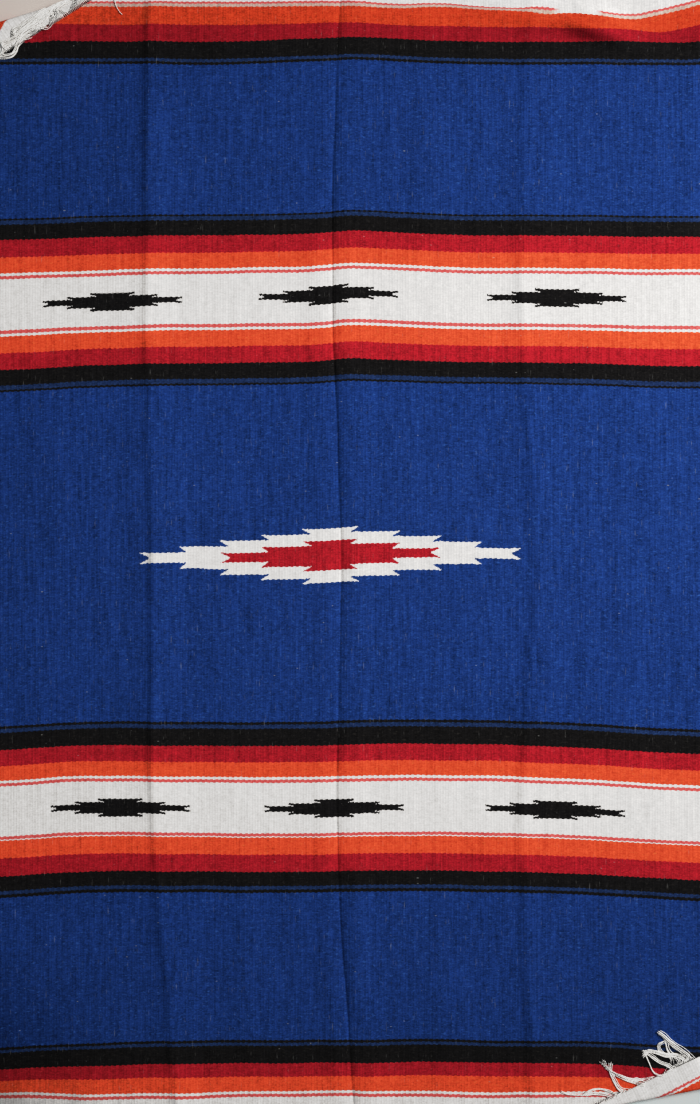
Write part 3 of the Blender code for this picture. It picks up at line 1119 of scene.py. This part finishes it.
def tubes(name: str, rings: Array, maps: Array, uv_map: str) -> bpy.types.Object:
    """Make one mesh of closed tubes.

    Args:
        name: The piece's name.
        rings: Points, by tube, ring and place round the ring, all rings turning the same
            way, outwards when followed from the first to the last.
        maps: The UV of each point, by tube, ring and place round, with one place more
            round the ring than there are points, so that the last meets the first.
        uv_map: The name of the UV map.

    Returns:
        The object, at the origin.
    """
    count, length, sides = rings.shape[:3]
    number = np.arange(count * length * sides).reshape(count, length, sides)
    after = np.roll(number, -1, axis=2)
    walls = np.stack([number[:, :-1], after[:, :-1], after[:, 1:], number[:, 1:]], axis=-1)
    places = np.arange(count * length * (sides + 1)).reshape(count, length, sides + 1)
    low, high = places[..., :-1], places[..., 1:]
    wall_maps = np.stack([low[:, :-1], high[:, :-1], high[:, 1:], low[:, 1:]], axis=-1)
    caps = np.stack([number[:, 0, ::-1], number[:, -1]], axis=1).reshape(-1, sides)
    cap_maps = np.stack([low[:, 0, ::-1], low[:, -1]], axis=1).reshape(-1, sides)
    faces = [*walls.reshape(-1, 4).tolist(), *caps.tolist()]
    corners = np.concatenate([wall_maps.reshape(-1), cap_maps.reshape(-1)])
    return finished(name, rings.reshape(-1, 3), faces, maps.reshape(-1, 2)[corners], uv_map)


def finished(
    name: str, points: Array, faces: list[list[int]], corner_maps: Array, uv_map: str
) -> bpy.types.Object:
    """Make a smooth mesh object, at the origin, with one UV map.

    Args:
        name: The piece's name.
        points: Its points.
        faces: The numbers of the points of each face.
        corner_maps: The UV of each face's corner, in order.
        uv_map: The name of the UV map.

    Returns:
        The object.
    """
    mesh = bpy.data.meshes.new(name)
    mesh.from_pydata(points.tolist(), [], faces)
    layer = mesh.uv_layers.new(name=uv_map)
    layer.data.foreach_set("uv", corner_maps.reshape(-1).astype(np.float32))
    mesh.shade_smooth()
    mesh.validate()
    made = bpy.data.objects.new(name, mesh)
    bpy.context.scene.collection.objects.link(made)
    return made


@dataclass
class Web:
    """The cloth itself: one breadth, woven from end to end."""

    drape: Drape
    near_crease: tuple[float, ...] = (0.0015, 0.0035, 0.0065, 0.011, 0.018, 0.028, 0.042)
    lane_divisions: tuple[int, ...] = (22, 16, 16, 24)
    end_rows: int = 62
    end_depth: float = 0.130
    plain_rows: int = 172
    edge_round: float = 0.0007
    edge_levels: tuple[float, float] = (0.3, 0.7)  # of the wall, where a selvedge is fullest

    def columns(self, v: Array) -> Array:
        """Where the web is divided across, for each v: finely beside each crease.

        Args:
            v: The rows, as a column of an array.

        Returns:
            The places across, by row and column.
        """
        lines = [crease.line(v) for crease in CREASES]
        border = np.full_like(v, WIDTH / 2)
        edges = [-border, *lines, border]
        steps = np.array(self.near_crease)
        found = []
        for k, divisions in enumerate(self.lane_divisions):
            left, right = edges[k], edges[k + 1]
            near = left + steps if k else left
            far = right - steps[::-1] if k < len(CREASES) else right
            low, high = near[:, -1:], far[:, :1]
            between = low + (high - low) * np.linspace(0, 1, divisions + 1)[1:-1]
            found += [left, near, between, far] if k else [near, between, far]
        return np.concatenate(found, axis=1)

    def rows(self) -> Array:
        """Where the web is divided along: finely over the turned ends.

        Returns:
            The places along, as a column of an array.
        """
        inner = LENGTH / 2 - self.end_depth
        fine = np.linspace(inner, LENGTH / 2, self.end_rows + 1)
        plain = np.linspace(-inner, inner, self.plain_rows + 1)
        return np.concatenate([-fine[::-1], plain[1:-1], fine])[:, None]

    def build(self) -> bpy.types.Object:
        """Make the web as a closed shell: rings round the cloth, carried along it.

        Each ring runs across under the cloth, round the selvedge, and back over its face.

        Returns:
            The web.
        """
        v = self.rows()
        across = self.columns(v)
        v = np.broadcast_to(v, across.shape)
        thick = WALL - sum(crease.pinch(across, v) for crease in CREASES)
        border = across[:, -1:]
        under = np.stack([across, v, np.zeros_like(across)], axis=-1)
        over = np.stack([across, v, thick], axis=-1)[:, ::-1]
        under[:, 0, 0] += self.edge_round
        under[:, -1, 0] -= self.edge_round
        over[:, 0, 0] -= self.edge_round
        over[:, -1, 0] += self.edge_round
        levels = np.array(self.edge_levels) * WALL
        side = np.broadcast_to(levels, (len(across), len(levels)))
        out = np.broadcast_to(border, side.shape)
        row = np.broadcast_to(v[:, :1], side.shape)
        right = np.stack([out, row, side], axis=-1)
        left = np.stack([-out, row, side[:, ::-1]], axis=-1)
        flat = np.concatenate([under, right, over, left], axis=1)
        rings = self.drape.place(flat)
        maps = np.concatenate([flat, flat[:, :1]], axis=1)[..., :2]
        return self.shell(rings, maps, across.shape[1])

    def shell(self, rings: Array, maps: Array, breadth: int) -> bpy.types.Object:
        """Join the rings into a closed mesh, with a strip of faces across each woven end.

        Args:
            rings: The points, by ring and place round it.
            maps: The UV of each, with the first repeated at the end.
            breadth: How many points of a ring lie under the cloth.

        Returns:
            The web.
        """
        length, sides = rings.shape[:2]
        number = np.arange(length * sides).reshape(length, sides)
        after = np.roll(number, -1, axis=1)
        walls = np.stack([number[:-1], after[:-1], after[1:], number[1:]], axis=-1).reshape(-1, 4)
        under = np.arange(breadth)
        over = 2 * breadth + 1 - under
        foot = np.stack([number[0, over[:-1]], number[0, over[1:]],
                         number[0, under[1:]], number[0, under[:-1]]], axis=-1)
        head = np.stack([number[-1, under[:-1]], number[-1, under[1:]],
                         number[-1, over[1:]], number[-1, over[:-1]]], axis=-1)
        ends = []
        for ring, turn in ((number[0], 1), (number[-1], -1)):
            right = ring[[breadth - 1, breadth, breadth + 1, breadth + 2]][::-turn]
            left = ring[[2 * breadth + 1, 2 * breadth + 2, 2 * breadth + 3, 0]][::-turn]
            ends += [right, left]
        faces = np.concatenate([walls, foot, head, np.array(ends)])
        corner_maps = maps[:, :-1].reshape(-1, 2)[faces.reshape(-1)]
        return finished("web_woven", rings.reshape(-1, 3), faces.tolist(), corner_maps, "cloth")


@dataclass(frozen=True)
class Lock:
    """A lock of yarns that turned over with a corner. All in millimetres."""

    first: float  # across the cloth from its middle, to the warps at the lock's two sides
    last: float
    yarns: int
    widths: tuple[float, float, float]  # half of it at its start, where it is drawn in, at its ends
    drawn: float  # the share of the way to where it is drawn in
    way: tuple[tuple[float, float], ...]  # seen from above, from the woven end to the cut ends


HEAD_LEFT_LOCKS = (
    Lock(-675, -655, 9, (4, 2, 4), 0.6,
         ((-614, 919), (-602, 922), (-595, 930), (-591, 940), (-580, 950), (-565, 960))),
    Lock(-675, -640, 14, (7, 4, 6), 0.7,
         ((-617, 935), (-604, 943), (-591, 951), (-578, 961), (-565, 969), (-550, 977))),
    Lock(-640, -612, 14, (3, 2.5, 4), 0.7,
         ((-584, 959), (-575, 966), (-564, 973), (-550, 981), (-537, 989), (-524, 998))),
    Lock(-635, -598, 12, (7, 5, 6), 0.7,
         ((-595, 958), (-582, 968), (-569, 977), (-556, 986), (-545, 994), (-532, 1001))),
    Lock(-595, -575, 6, (1.5, 1, 2), 0.4,
         ((-549, 977), (-541, 981), (-535, 987), (-529, 996), (-522, 1004), (-511, 1012))),
    Lock(-604, -598, 2, (1, 0.6, 0.8), 0.5,
         ((-551, 969), (-545, 970), (-536, 972), (-527, 979), (-522, 989), (-528, 1000))),
    Lock(-600, -560, 14, (6, 4, 6), 0.7,
         ((-552, 983), (-541, 992), (-530, 999), (-519, 1007), (-508, 1015), (-494, 1023))),
    Lock(-552, -524, 14, (3, 2.5, 3), 0.6,
         ((-517, 1002), (-509, 1009), (-500, 1017), (-491, 1022), (-481, 1026), (-470, 1031))),
    Lock(-552, -512, 12, (5, 4, 5), 0.7,
         ((-517, 1008), (-506, 1016), (-494, 1024), (-483, 1031), (-472, 1038), (-461, 1044))),
    Lock(-508, -468, 14, (5, 3, 5), 0.6,
         ((-476, 1027), (-465, 1034), (-453, 1040), (-442, 1046), (-431, 1051), (-420, 1055))),
    Lock(-464, -424, 14, (5, 3, 5), 0.6,
         ((-439, 1048), (-427, 1053), (-416, 1057), (-405, 1061), (-394, 1063), (-383, 1063))),
    Lock(-446, -444, 1, (0, 0, 0), 0.5,
         ((-410, 1033), (-410, 1026), (-408, 1017), (-405, 1009), (-401, 1002), (-396, 997))),
)
FOOT_RIGHT_LOCKS = (
    Lock(655, 696, 14, (5, 2.6, 2.2), 0.75,
         ((658, -943), (646, -933), (634, -924), (622, -915), (612, -905), (602, -898))),
    Lock(640, 672, 5, (5, 2, 2), 0.8,
         ((642, -949), (629, -941), (621, -931), (618, -920), (615, -912), (609, -904))),
    Lock(634, 664, 4, (4, 1.5, 1.5), 0.8,
         ((627, -947), (612, -939), (603, -930), (604, -921), (612, -916), (619, -913))),
    Lock(650, 684, 8, (5, 2.2, 5), 0.85,
         ((649, -948), (634, -941), (617, -941), (601, -936), (586, -933), (573, -938))),
    Lock(636, 655, 6, (3, 1.6, 4), 0.8,
         ((627, -966), (619, -960), (605, -954), (592, -945), (581, -938), (572, -943))),
    Lock(618, 648, 3, (1.2, 0.8, 2), 0.8,
         ((610, -978), (598, -976), (591, -969), (586, -957), (580, -944), (575, -932))),
    Lock(577, 612, 8, (6, 2.2, 5), 0.8,
         ((576, -990), (561, -989), (546, -986), (531, -980), (512, -970), (498, -952))),
    Lock(590, 612, 2, (1, 0.6, 1), 0.8,
         ((573, -988), (562, -983), (550, -985), (535, -981), (520, -973), (504, -967))),
    Lock(527, 560, 6, (4.5, 1.6, 3.5), 0.8,
         ((535, -1007), (528, -1001), (521, -990), (516, -980), (512, -970), (513, -952))),
    Lock(533, 562, 4, (1.5, 1.2, 1.5), 0.6,
         ((526, -1014), (511, -1008), (498, -1004), (487, -1004), (477, -1007), (466, -1013))),
    Lock(522, 552, 4, (1.5, 1.2, 1.5), 0.6,
         ((517, -1017), (504, -1015), (492, -1013), (481, -1013), (472, -1014), (461, -1015))),
    Lock(542, 546, 2, (0.5, 0.5, 1.2), 0.5,
         ((494, -1013), (476, -1014), (457, -1015), (442, -1015), (431, -1014), (422, -1009))),
    Lock(484, 524, 9, (4, 3, 3), 0.6,
         ((490, -1033), (476, -1037), (457, -1039), (438, -1041), (420, -1043), (401, -1044))),
    Lock(440, 480, 9, (5, 2, 3), 0.7,
         ((461, -1041), (446, -1043), (431, -1046), (416, -1049), (401, -1052), (386, -1054))),
)


@dataclass(frozen=True)
class Tassel:
    """One knotted tassel: where it is rooted and how it lies."""

    across: float
    lean: float  # towards the selvedge that the corner is on
    knot: float  # from the strip to its knot
    tail: float  # from the knot to its cut ends


@dataclass
class Terrain:
    """The height of the topmost surface around a turned corner, on a fine grid."""

    drape: Drape
    corner: Corner
    cell: float = 0.0015
    inner: tuple[float, float] = (0.33, 0.80)  # from where it is mapped, across and along
    samples: tuple[int, int] = (620, 420)
    border: int = 100  # cells of bare floor round it

    def __post_init__(self) -> None:
        """Lay both surfaces of the cloth down, and keep the highest point in each cell."""
        u = self.corner.side * np.linspace(self.inner[0], WIDTH / 2, self.samples[0])
        v = self.corner.end * np.linspace(self.inner[1], LENGTH / 2, self.samples[1])
        cloth = np.stack(np.meshgrid(u, v, (0.0, WALL), indexing="ij"), axis=-1)
        x, y, z = self.drape.place(cloth.reshape(-1, 3)).T
        self.left, self.low = (at.min() - self.border * self.cell for at in (x, y))
        column, row = self.cells(x, y)
        self.top = np.zeros([int(at.max()) + self.border for at in (column, row)])
        np.maximum.at(self.top, (column.astype(int), row.astype(int)), z)

    def cells(self, x: Array, y: Array) -> tuple[Array, Array]:
        """The places x, y counted in cells from the grid's corner."""
        return (x - self.left) / self.cell, (y - self.low) / self.cell

    def height(self, x: Array, y: Array) -> Array:
        """The height at x, y: the highest of the four cells around it.

        Args:
            x: Places across.
            y: Places along.

        Returns:
            The heights.
        """
        column, row = self.cells(x, y)
        found = [
            self.top[
                np.clip((column + a).astype(int), 0, self.top.shape[0] - 1),
                np.clip((row + b).astype(int), 0, self.top.shape[1] - 1),
            ]
            for a in (-0.5, 0.5)
            for b in (-0.5, 0.5)
        ]
        return np.max(found, axis=0)


@dataclass
class Fringe:
    """The knotted warp ends of one end of the cloth."""

    drape: Drape
    corner: Corner
    locks: tuple[Lock, ...]
    tassels: int = 31
    first: float = 0.0375  # from the selvedge to the first tassel's middle
    knot_reach: float = 0.054  # from the strip to a knot, and how much it differs
    knot_spread: tuple[float, float] = (0.88, 1.08)
    tail_reach: float = 0.030  # from a knot to the cut ends
    tail_spread: tuple[float, float] = (0.7, 1.1)
    loose_lean: float = math.radians(9)
    loose_turn: float = 0.9  # a tassel rooted where the roll has turned less stays loose
    strip: float = 0.0066  # from the woven end to where the tassels are free
    inside: float = 0.003  # from the woven end in to where a yarn starts
    lip: float = 0.0015  # and out to where it leaves the cloth
    warps: int = 9
    warp_pitch: float = 0.0049
    swing: float = 0.0035  # how far a yarn strays between the cloth and its knot
    drawn_in: float = 0.84  # of the way to the knot, where the yarns have come together
    flare: float = 0.006  # half the breadth of a tassel's cut ends, and below its knot
    flare_stray: float = 0.003
    cut_spread: tuple[float, float] = (0.72, 1.18)  # of the tail, where its yarns are cut
    heaped: tuple[float, ...] = (0.2, 0.8, 1.0, 1.0, 0.6, 0.15)  # how high it lies past the lip
    loft: float = 0.0012  # how far a yarn may stand up on its way to the knot
    tip_loft: tuple[float, float] = (0.0001, 0.0008)
    lock_apart: float = 0.10  # how far a lock's yarns stray as a whole, of its half width
    lock_stray: float = 0.0005  # and at each point
    lock_cut: tuple[float, float] = (-0.35, 0.25)  # of a lock's last stretch
    ply: float = 0.00064  # a yarn's mean radius
    bundle_shape: tuple[float, float] = (1.3, 0.8)  # how much wider than round, and lower
    oval: float = 0.10  # how much wider and thinner than that its two plies make it
    twist: float = 0.012  # the length of one turn
    phase: float = 2.4  # how far a yarn's oval is turned from its neighbour's
    cut_end: float = 0.55  # of its radius
    sides: int = 6
    steps: int = 6  # points along each stretch of a yarn
    springy: int = 6  # rounds of smoothing over what it lies on
    sunk: float = 0.8  # of its radius, the least that its middle is above the surface
    floor_gap: float = 0.0001
    seed: int = 7
    uv_map: str = "yarn"

    def loose(self) -> list[Tassel]:
        """The tassels that did not turn over with the corner.

        They are rooted at even steps along the woven end, and each differs a little.

        Returns:
            The tassels, from the corner on.
        """
        chance = random.Random(self.seed + self.corner.end)
        pitch = (WIDTH - 2 * self.first) / (self.tassels - 1)
        found = []
        for k in range(self.tassels):
            across = self.corner.side * (WIDTH / 2 - self.first - k * pitch)
            knot = self.knot_reach * chance.uniform(*self.knot_spread)
            tail = self.tail_reach * chance.uniform(*self.tail_spread)
            lean = chance.uniform(-self.loose_lean, self.loose_lean)
            end = self.corner.end * LENGTH / 2
            laid = end + float(self.drape.lay(np.array([across]), np.array([end]))[0])
            if self.corner.past(across, laid) < self.loose_turn * self.corner.radius(across):
                found.append(Tassel(across, lean, knot, tail))
        return found

    def rooted(self, root_u: Array) -> tuple[Array, Array]:
        """Where warps lie just inside the woven end, and just off it.

        Args:
            root_u: The warps' places across.

        Returns:
            The points of both.
        """
        end = self.corner.end
        inside, off = LENGTH / 2 - self.inside, LENGTH / 2 + self.lip
        return self.root(root_u, end * inside), self.root(root_u, end * off)

    def tassel_paths(self, tassel: Tassel, chance: np.random.Generator) -> Array:
        """The points that a loose tassel's yarns pass through.

        A yarn leaves the woven end, is drawn in to the knot and flares from it to its cut
        end. Past the woven end, heights are above the floor.

        Args:
            tassel: The tassel.
            chance: What its unevenness is drawn from.

        Returns:
            The points, by yarn and point.
        """
        n, side, end = self.warps, self.corner.side, self.corner.end
        lane = np.linspace(-1, 1, n)
        bundle = self.bundle(n)
        root, lip = self.rooted(tassel.across + lane * self.warp_pitch * (n - 1) / 2)
        ahead = np.array([side * math.sin(tassel.lean), end * math.cos(tassel.lean)])
        right = np.array([ahead[1], -ahead[0]])
        knot = lip.mean(axis=0)[:2] + ahead * (tassel.knot + self.strip)
        # The yarns keep their order from the woven end to the knot.
        order = np.sign(np.dot(lip[-1, :2] - lip[0, :2], right)) * lane
        swing = chance.normal(0, self.swing, n)
        drawn = lip[:, :2] * 0.5 + knot * 0.5 + right * swing[:, None]
        near = lip[:, :2] * (1 - self.drawn_in) + knot * self.drawn_in
        near = near + right * (bundle[:, 0] * 0.9 + swing * 0.35)[:, None]
        at = knot + right * bundle[:, :1]
        spread = order * self.flare + chance.normal(0, self.flare_stray, n)
        length = tassel.tail * 0.92 * chance.uniform(*self.cut_spread, n)
        mid = at + ahead * (length * 0.55)[:, None] + right * (spread * 0.45)[:, None]
        tip = at + ahead * length[:, None] + right * spread[:, None]
        below_knot = at + ahead * self.flare
        plan = [root[:, :2], lip[:, :2], drawn, near, at, below_knot, mid, tip]
        plan = np.stack(plan, axis=1)
        height = self.ply * 1.1 + bundle[:, 1:] * self.heaped
        height = np.concatenate([root[:, 2:], lip[:, 2:], height], axis=1)
        height[:, 2] += chance.uniform(0, self.loft, n)
        height[:, -1] += chance.uniform(*self.tip_loft, n)
        return np.concatenate([plan, height[..., None]], axis=-1)

    def lock_paths(self, lock: Lock, terrain: Terrain, chance: np.random.Generator) -> Array:
        """The points that a turned lock's yarns pass through.

        The yarns run side by side where the lock is wide, and lie in a bundle where it is
        drawn in. Past the woven end, heights are above whatever lies beneath.

        Args:
            lock: The lock.
            terrain: What it lies on.
            chance: What its unevenness is drawn from.

        Returns:
            The points, by yarn and point.
        """
        n = lock.yarns
        root, lip = self.rooted(np.linspace(lock.first, lock.last, n) * MM)
        way = np.array(lock.way) * MM
        ahead = np.gradient(way, axis=0)
        ahead /= np.linalg.norm(ahead, axis=1, keepdims=True)
        right = np.stack([ahead[:, 1], -ahead[:, 0]], axis=1)
        share = np.linspace(0, 1, len(way))
        wide = np.interp(share, (0, lock.drawn, 1), lock.widths) * MM
        order = np.linspace(-1, 1, n) if n > 1 else np.zeros(1)
        order = np.sign(np.dot(lip[-1, :2] - lip[0, :2], right[0])) * order
        bundled = np.clip(1.2 - wide / (n * self.ply), 0, 1)
        bundle = self.bundle(n)
        across = order[:, None] * wide + bundle[:, :1] * bundled
        across += chance.normal(0, self.lock_stray, across.shape)
        across += chance.normal(0, self.lock_apart, (n, 1)) * wide
        plan = way + across[..., None] * right
        plan[:, -1] += (plan[:, -1] - plan[:, -2]) * chance.uniform(*self.lock_cut, (n, 1))
        loft = chance.uniform(0, self.lock_stray, across.shape)
        height = self.ply + bundle[:, 1:] * bundled + loft
        plan = np.concatenate([root[:, None, :2], lip[:, None, :2], plan], axis=1)
        ends = [root[:, 2:], lip[:, 2:] - self.beneath(terrain, lip)[:, None]]
        return np.concatenate([plan, np.concatenate([*ends, height], axis=1)[..., None]], axis=-1)

    def lines(self, terrain: Terrain | None) -> Array:
        """Where the yarns run, by yarn and place along it.

        Args:
            terrain: What the turned yarns lie on. None is the floor, for the loose tassels.

        Returns:
            The points.
        """
        chance = np.random.default_rng(self.seed + self.corner.end)
        if terrain is None:
            paths = [self.tassel_paths(tassel, chance) for tassel in self.loose()]
        else:
            paths = [self.lock_paths(lock, terrain, chance) for lock in self.locks]
        return self.settled(self.along(np.concatenate(paths)), terrain)

    def beneath(self, terrain: Terrain | None, points: Array) -> Array:
        """The height of what lies under some points.

        Args:
            terrain: What lies there. None is the floor.
            points: The points.

        Returns:
            The heights.
        """
        if terrain is None:
            return np.zeros(points.shape[:-1])
        return terrain.height(points[..., 0], points[..., 1])

    def settled(self, lines: Array, terrain: Terrain | None) -> Array:
        """Lay yarns down on what is beneath them.

        Before the lip they stay in the cloth. Past it, what lies beneath is added to their
        height and smoothed along the yarn, which is too springy for steps, but a yarn is
        never let into the surface.

        Args:
            lines: Points whose heights are above whatever lies beneath, past the lip.
            terrain: What lies beneath.

        Returns:
            The points as they lie.
        """
        free = lines[:, self.steps :]
        ground = self.beneath(terrain, free)
        height = free[..., 2] + ground
        lip = height[:, :1].copy()
        for _ in range(self.springy):
            padded = np.concatenate([lip, height, height[:, -1:]], axis=1)
            height = (padded[:, :-2] + 2 * padded[:, 1:-1] + padded[:, 2:]) / 4
            height[:, 1:] = np.maximum(height[:, 1:], ground[:, 1:] + self.ply * self.sunk)
        settled = lines.copy()
        settled[:, self.steps :, 2] = height
        return settled

    def root(self, u: Array, v: float) -> Array:
        """Where warps lie at the woven end, in the middle of the cloth's thickness."""
        flat = np.stack([u, np.full_like(u, v), np.full_like(u, WALL / 2)], axis=-1)
        return self.drape.place(flat)

    def bundle(self, count: int) -> Array:
        """Where yarns lie in a drawn bundle: a flattened spiral of even spacing.

        The k-th of them is at the golden angle times k, on a radius of the root of k.

        Args:
            count: How many yarns there are.

        Returns:
            Each one's place beside the bundle's middle, and its height.
        """
        k = np.arange(count)
        radius = self.ply * 1.05 * np.sqrt(k + 0.5)
        angle = k * math.pi * (3 - math.sqrt(5))
        flat = np.stack([radius * np.cos(angle), radius * (np.sin(angle) + 1)], axis=-1)
        return flat * self.bundle_shape

    def along(self, paths: Array) -> Array:
        """Points along smooth curves through the points of each path.

        Each stretch is a cubic whose slope at a point is half the step between its
        neighbours, so the curve passes through every point.

        Args:
            paths: Points to pass through, by yarn and point.

        Returns:
            The points, by yarn and place along it.
        """
        padded = np.concatenate(
            [2 * paths[:, :1] - paths[:, 1:2], paths, 2 * paths[:, -1:] - paths[:, -2:-1]], axis=1
        )
        f = (np.arange(self.steps) / self.steps)[None, None, :, None]
        a, b, c, d = (padded[:, k : k + paths.shape[1] - 1, None] for k in range(4))
        curve = (
            b
            + (c - a) / 2 * f
            + (a - 2.5 * b + 2 * c - d / 2) * f**2
            + (1.5 * (b - c) + (d - a) / 2) * f**3
        )
        curve = curve.reshape(len(paths), -1, 3)
        return np.concatenate([curve, paths[:, -1:]], axis=1)

    def yarns(self, name: str, lines: Array, radius: float) -> bpy.types.Object:
        """Make twisted yarns along lines.

        A ring is an oval that turns with the distance along the line, set on two unit
        vectors across it. The last ring is drawn in, so that the cut end is round.

        Args:
            name: The piece's name.
            lines: Points, by yarn and place along it.
            radius: The yarns' mean radius.

        Returns:
            The piece.
        """
        ahead = np.gradient(lines, axis=1)
        ahead /= np.linalg.norm(ahead, axis=-1, keepdims=True) + 1e-12
        up = np.array([0.0, 0.0, 1.0])
        beside = np.cross(ahead, up)
        beside /= np.linalg.norm(beside, axis=-1, keepdims=True) + 1e-9
        over = np.cross(beside, ahead)
        steps = np.linalg.norm(np.diff(lines, axis=1), axis=-1)
        distance = np.concatenate([np.zeros((len(lines), 1)), np.cumsum(steps, axis=1)], axis=1)
        start = np.arange(len(lines))[:, None] * self.phase
        turn = distance * (math.tau / self.twist) + start
        angle = np.arange(self.sides) * math.tau / self.sides
        along_wide = np.cos(angle) * radius * (1 + self.oval)
        along_thin = np.sin(angle) * radius * (1 - self.oval)
        cos, sin = np.cos(turn)[..., None], np.sin(turn)[..., None]
        side = along_wide * cos - along_thin * sin
        rise = along_wide * sin + along_thin * cos
        taper = np.ones(lines.shape[1])
        taper[0] = taper[-1] = self.cut_end
        side, rise = side * taper[:, None], rise * taper[:, None]
        rings = (
            lines[:, :, None]
            + side[..., None] * beside[:, :, None]
            + rise[..., None] * over[:, :, None]
        )
        rings[..., 2] = np.maximum(rings[..., 2], self.floor_gap)
        around = np.broadcast_to(
            np.arange(self.sides + 1) / self.sides, (*distance.shape, self.sides + 1)
        )
        length = np.broadcast_to(distance[..., None], around.shape)
        return tubes(name, rings[:, :, ::-1], np.stack([around, length], axis=-1), self.uv_map)


# How bright each strength of light is shown: a toe that deepens shade, and a soft shoulder.
TONES = (
    (0.0, 0.0),
    (0.03, 0.013),
    (0.10, 0.065),
    (0.20, 0.170),
    (0.35, 0.360),
    (0.52, 0.597),
    (0.75, 0.767),
    (1.0, 0.920),
)


@dataclass(frozen=True)
class Studio:
    """The floor, the light and the camera."""

    view_at: tuple[float, float] = (0.0280, -0.0037)
    view_length: float = 2.059
    camera_height: float = 2.60
    sensor: float = 36.0  # millimetres
    floor_half: float = 6.0
    floor_at: float = -0.0002
    window_at: tuple[float, float, float] = (3.9, 1.6, 2.8)
    window_size: float = 2.2
    window_power: float = 38.8  # watts
    window_tint: tuple[float, float, float] = (1.0, 0.985, 0.97)
    window_spread: float = math.radians(54)  # the angle that its beam is kept within
    lit_at: tuple[float, float] = (0.34, 0.16)  # the place on the cloth that it faces
    surround_tint: tuple[float, float, float] = (0.94, 0.97, 1.0)
    surround_strength: float = 0.22

    def floor(self) -> bpy.types.Object:
        """A plain floor under the cloth, just below its underside.

        Returns:
            The floor.
        """
        low, high, z = -self.floor_half, self.floor_half, self.floor_at
        corners = [(low, low, z), (high, low, z), (high, high, z), (low, high, z)]
        mesh = bpy.data.meshes.new("floor")
        mesh.from_pydata(corners, [], [(0, 1, 2, 3)])
        mesh.materials.append(PaleFloor().material())
        made = bpy.data.objects.new("floor", mesh)
        bpy.context.scene.collection.objects.link(made)
        return made

    def window(self) -> None:
        """Soft daylight from the right and above: a square lamp that faces the cloth."""
        light = bpy.data.lights.new("window", "AREA")
        light.size = self.window_size
        light.energy = self.window_power
        light.color = self.window_tint
        light.spread = self.window_spread
        made = bpy.data.objects.new("window", light)
        made.location = self.window_at
        away = np.array(self.window_at) - (*self.lit_at, 0.0)
        away /= np.linalg.norm(away)
        made.rotation_euler = (math.acos(away[2]), 0, math.atan2(away[0], -away[1]))
        bpy.context.scene.collection.objects.link(made)

    def surround(self) -> None:
        """A pale surround on every side."""
        world = bpy.data.worlds.new("surround")
        world.use_nodes = True
        colour, strength = world.node_tree.nodes["Background"].inputs[:2]
        colour.default_value = (*self.surround_tint, 1)
        strength.default_value = self.surround_strength
        bpy.context.scene.world = world

    def exposure(self) -> None:
        """Show each strength of light as bright as its tone says."""
        settings = bpy.context.scene.view_settings
        settings.view_transform = "Standard"
        settings.use_curve_mapping = True
        points = settings.curve_mapping.curves[3].points
        for point, (light, tone) in zip((points[0], points[-1]), (TONES[0], TONES[-1])):
            point.location = (light, tone)
        for light, tone in TONES[1:-1]:
            points.new(light, tone)
        settings.curve_mapping.update()

    def camera(self) -> None:
        """A camera straight above, level with the cloth and framed within its edges."""
        lens = bpy.data.cameras.new("camera")
        lens.sensor_fit = "VERTICAL"
        lens.sensor_height = self.sensor
        lens.lens = self.sensor * self.camera_height / self.view_length
        made = bpy.data.objects.new("camera", lens)
        made.location = (*self.view_at, self.camera_height)
        bpy.context.scene.collection.objects.link(made)
        bpy.context.scene.camera = made


def main() -> None:
    """Build the serape on its frame and report each piece."""
    logging.basicConfig(level=logging.INFO, format="%(message)s")
    studio = Studio()
    floor = studio.floor()
    studio.window()
    studio.surround()
    studio.exposure()
    studio.camera()

    drape = Drape()
    cloth = Web(drape).build()
    cloth.data.materials.append(Weave().material())
    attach(cloth, "root")
    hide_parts("web")
    log.info("%s: %d faces", cloth.name, len(cloth.data.polygons))

    cotton = CottonPly().material()
    for end_name, corner, locks in (
        ("head", HEAD_LEFT, HEAD_LEFT_LOCKS),
        ("foot", FOOT_RIGHT, FOOT_RIGHT_LOCKS),
    ):
        fringe = Fringe(drape, corner, locks)
        for suffix, beneath in (("", None), ("_turned", Terrain(drape, corner))):
            name = f"fringe_{end_name}{suffix}"
            piece = fringe.yarns(f"{name}_yarns", fringe.lines(beneath), fringe.ply)
            piece.data.materials.append(cotton)
            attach(piece, "root")
            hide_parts(name)
            log.info("%s: %d faces", piece.name, len(piece.data.polygons))


if __name__ == "__main__":
    main()
